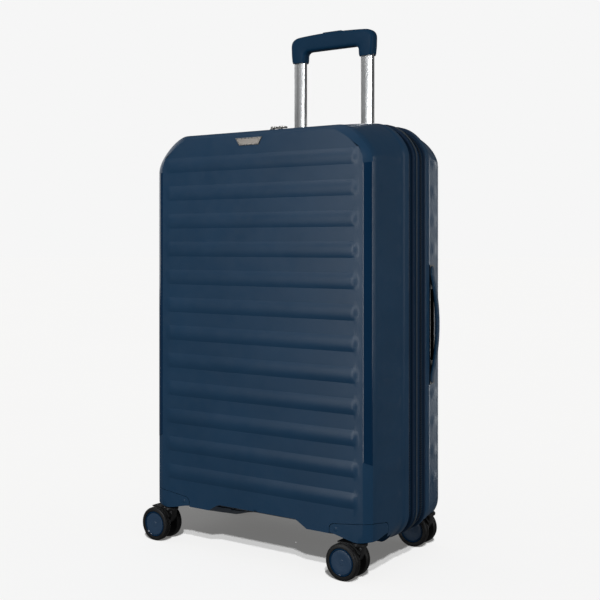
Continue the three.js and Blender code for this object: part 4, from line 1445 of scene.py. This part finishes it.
def make_floor():
    """A round pale floor. The case neither reflects it nor takes light from it."""
    turns = np.linspace(0, 2 * math.pi, 64)[:-1]
    points, faces = loft([[(math.cos(a) * r, math.sin(a) * r, 0) for a in turns] for r in FLOOR_RADII],
                         caps=False)
    mesh = bpy.data.meshes.new("floor")
    mesh.from_pydata(points, [], faces)
    floor = bpy.data.objects.new("floor", mesh)
    bpy.context.scene.collection.objects.link(floor)
    paint = Paint("floor_paint", (0.82, 0.82, 0.82), 0.9, specular=0.0)
    paint.mottle(paint.noise(1.5, 2.0), 0.998, 1.002)
    paint.set(emission_color=(1, 0.985, 0.955, 1), emission_strength=FLOOR_GLOW)
    mesh.materials.append(paint.material)
    floor.visible_diffuse = floor.visible_glossy = False
    return floor


AIM = Vector((0, 0, 0.42))      # what the lights point at
SUN_TURN = 36                   # degrees round to the camera's side


def area_light(name, at, size, power, color):
    """A soft rectangular light that points at the case."""
    data = bpy.data.lights.new(name, "AREA")
    data.shape = "RECTANGLE"
    data.size, data.size_y = size
    data.energy = power
    data.color = color
    light = bpy.data.objects.new(name, data)
    light.location = at
    light.rotation_mode = "QUATERNION"
    light.rotation_quaternion = (AIM - Vector(at)).to_track_quat("-Z", "Y")
    light.visible_camera = False
    bpy.context.scene.collection.objects.link(light)
    return light


def floor_sun(name, tilt, spread, strength):
    """Light that only the floor takes, from the camera's side, so the shadow falls behind the case."""
    data = bpy.data.lights.new(name, "SUN")
    data.energy = strength
    data.angle = math.radians(spread)
    light = bpy.data.objects.new(name, data)
    turn, tilt = math.radians(SUN_TURN), math.radians(tilt)
    source = Vector((math.sin(turn) * math.sin(tilt), -math.cos(turn) * math.sin(tilt), math.cos(tilt)))
    light.rotation_mode = "QUATERNION"
    light.rotation_quaternion = (-source).to_track_quat("-Z", "Y")
    bpy.context.scene.collection.objects.link(light)
    return light


WORLD_FILL = 0.10       # light from all round
BACKDROP = 0.922        # brightness of the empty background


def make_world():
    """A plain pale background that lights the case only a little."""
    world = bpy.data.worlds.new("studio")
    bpy.context.scene.world = world
    world.use_nodes = True
    nodes, links = world.node_tree.nodes, world.node_tree.links
    lit = nodes["Background"]
    lit.inputs["Color"].default_value = (1, 1, 1, 1)
    lit.inputs["Strength"].default_value = WORLD_FILL
    seen = nodes.new("ShaderNodeBackground")
    seen.inputs["Color"].default_value = (1, 1, 1, 1)
    seen.inputs["Strength"].default_value = BACKDROP
    mix = nodes.new("ShaderNodeMixShader")
    path = nodes.new("ShaderNodeLightPath")
    links.new(path.outputs["Is Camera Ray"], mix.inputs["Fac"])
    links.new(lit.outputs["Background"], mix.inputs[1])
    links.new(seen.outputs["Background"], mix.inputs[2])
    links.new(mix.outputs["Shader"], nodes["World Output"].inputs["Surface"])


CAMERA_TURN = math.radians(34.78)       # round to the case's right from straight in front
CAMERA_DISTANCE = 1.891                 # metres, from the middle of the case
CAMERA_HEIGHT = 0.541
CAMERA_LENS = 62.4
CAMERA_SHIFT = -0.0934                  # lowers the framing without tilting the camera
AIM_ASIDE = 0.0011                      # radians past the case's middle
CASE_MIDDLE_Y = LID_RIM_Y * MM + 0.015


def make_camera():
    """Level, a little above the case's middle, looking just past its vertical middle line."""
    data = bpy.data.cameras.new("camera")
    data.sensor_width = 36
    data.lens = CAMERA_LENS
    data.shift_y = CAMERA_SHIFT
    camera = bpy.data.objects.new("camera", data)
    bpy.context.scene.collection.objects.link(camera)
    camera.location = (MIDDLE_X * MM + CAMERA_DISTANCE * math.sin(CAMERA_TURN),
                       CASE_MIDDLE_Y - CAMERA_DISTANCE * math.cos(CAMERA_TURN), CAMERA_HEIGHT)
    camera.rotation_euler = (math.radians(90), 0, CAMERA_TURN + AIM_ASIDE)
    bpy.context.scene.camera = camera


def receivers(name, things, state):
    """Things that a light shines on alone, with INCLUDE, or leaves out, with EXCLUDE."""
    group = bpy.data.collections.new(name)
    for thing in things:
        group.objects.link(thing)
    for member in group.collection_objects:
        member.light_linking.link_state = state
    return group


WHITE = (1, 1, 1)
COOL = (0.97, 0.99, 1)
COLD = (0.96, 0.98, 1)

# Name, place, size, power and colour.
CASE_LIGHTS = (
    ("overhead", (-0.3, -0.3, 2.7), (2.0, 2.0), 8, WHITE),
    ("front", (-0.85, -2.6, 0.35), (0.5, 1.6), 24, COOL),
    ("key", (-1.0, -2.1, 1.9), (0.4, 0.7), 9, WHITE),
    ("spark", (-0.1, -2.6, 1.6), (0.3, 0.3), 22, COLD),
    ("fill", (-2.0, -1.6, 1.5), (0.5, 0.8), 0.6, WHITE),
    ("right", (2.7, -0.5, 0.9), (1.2, 1.8), 30, WHITE),
    ("edge", (2.6, 1.3, 0.9), (0.4, 1.6), 8, WHITE),
    ("behind", (0.25, 2.8, 0.35), (0.5, 1.6), 5, COOL),
    ("left", (-2.6, 0.6, 1.2), (1.6, 1.8), 12, WHITE))
SIDE_LIGHTS = ("right", "edge")         # these leave out the tubes too, which they would burn out

# Name, degrees from straight above, spread and strength.
FLOOR_SUNS = (("floor_high", 44, 3, 1.60), ("floor_low", 54, 3, 2.60))

make_camera()
make_world()
floor = make_floor()
tubes = [bpy.data.objects["tube_left"], bpy.data.objects["tube_right"]]
not_floor = receivers("not_floor", [floor], "EXCLUDE")
not_tubes = receivers("not_tubes", [floor, *tubes], "EXCLUDE")
for name, at, size, power, tint in CASE_LIGHTS:
    light = area_light(name, at, size, power, tint)
    light.light_linking.receiver_collection = not_tubes if name in SIDE_LIGHTS else not_floor
floor_only = receivers("floor_only", [floor], "INCLUDE")
for name, tilt, spread, strength in FLOOR_SUNS:
    floor_sun(name, tilt, spread, strength).light_linking.receiver_collection = floor_only
bpy.context.scene.view_settings.view_transform = "Standard"
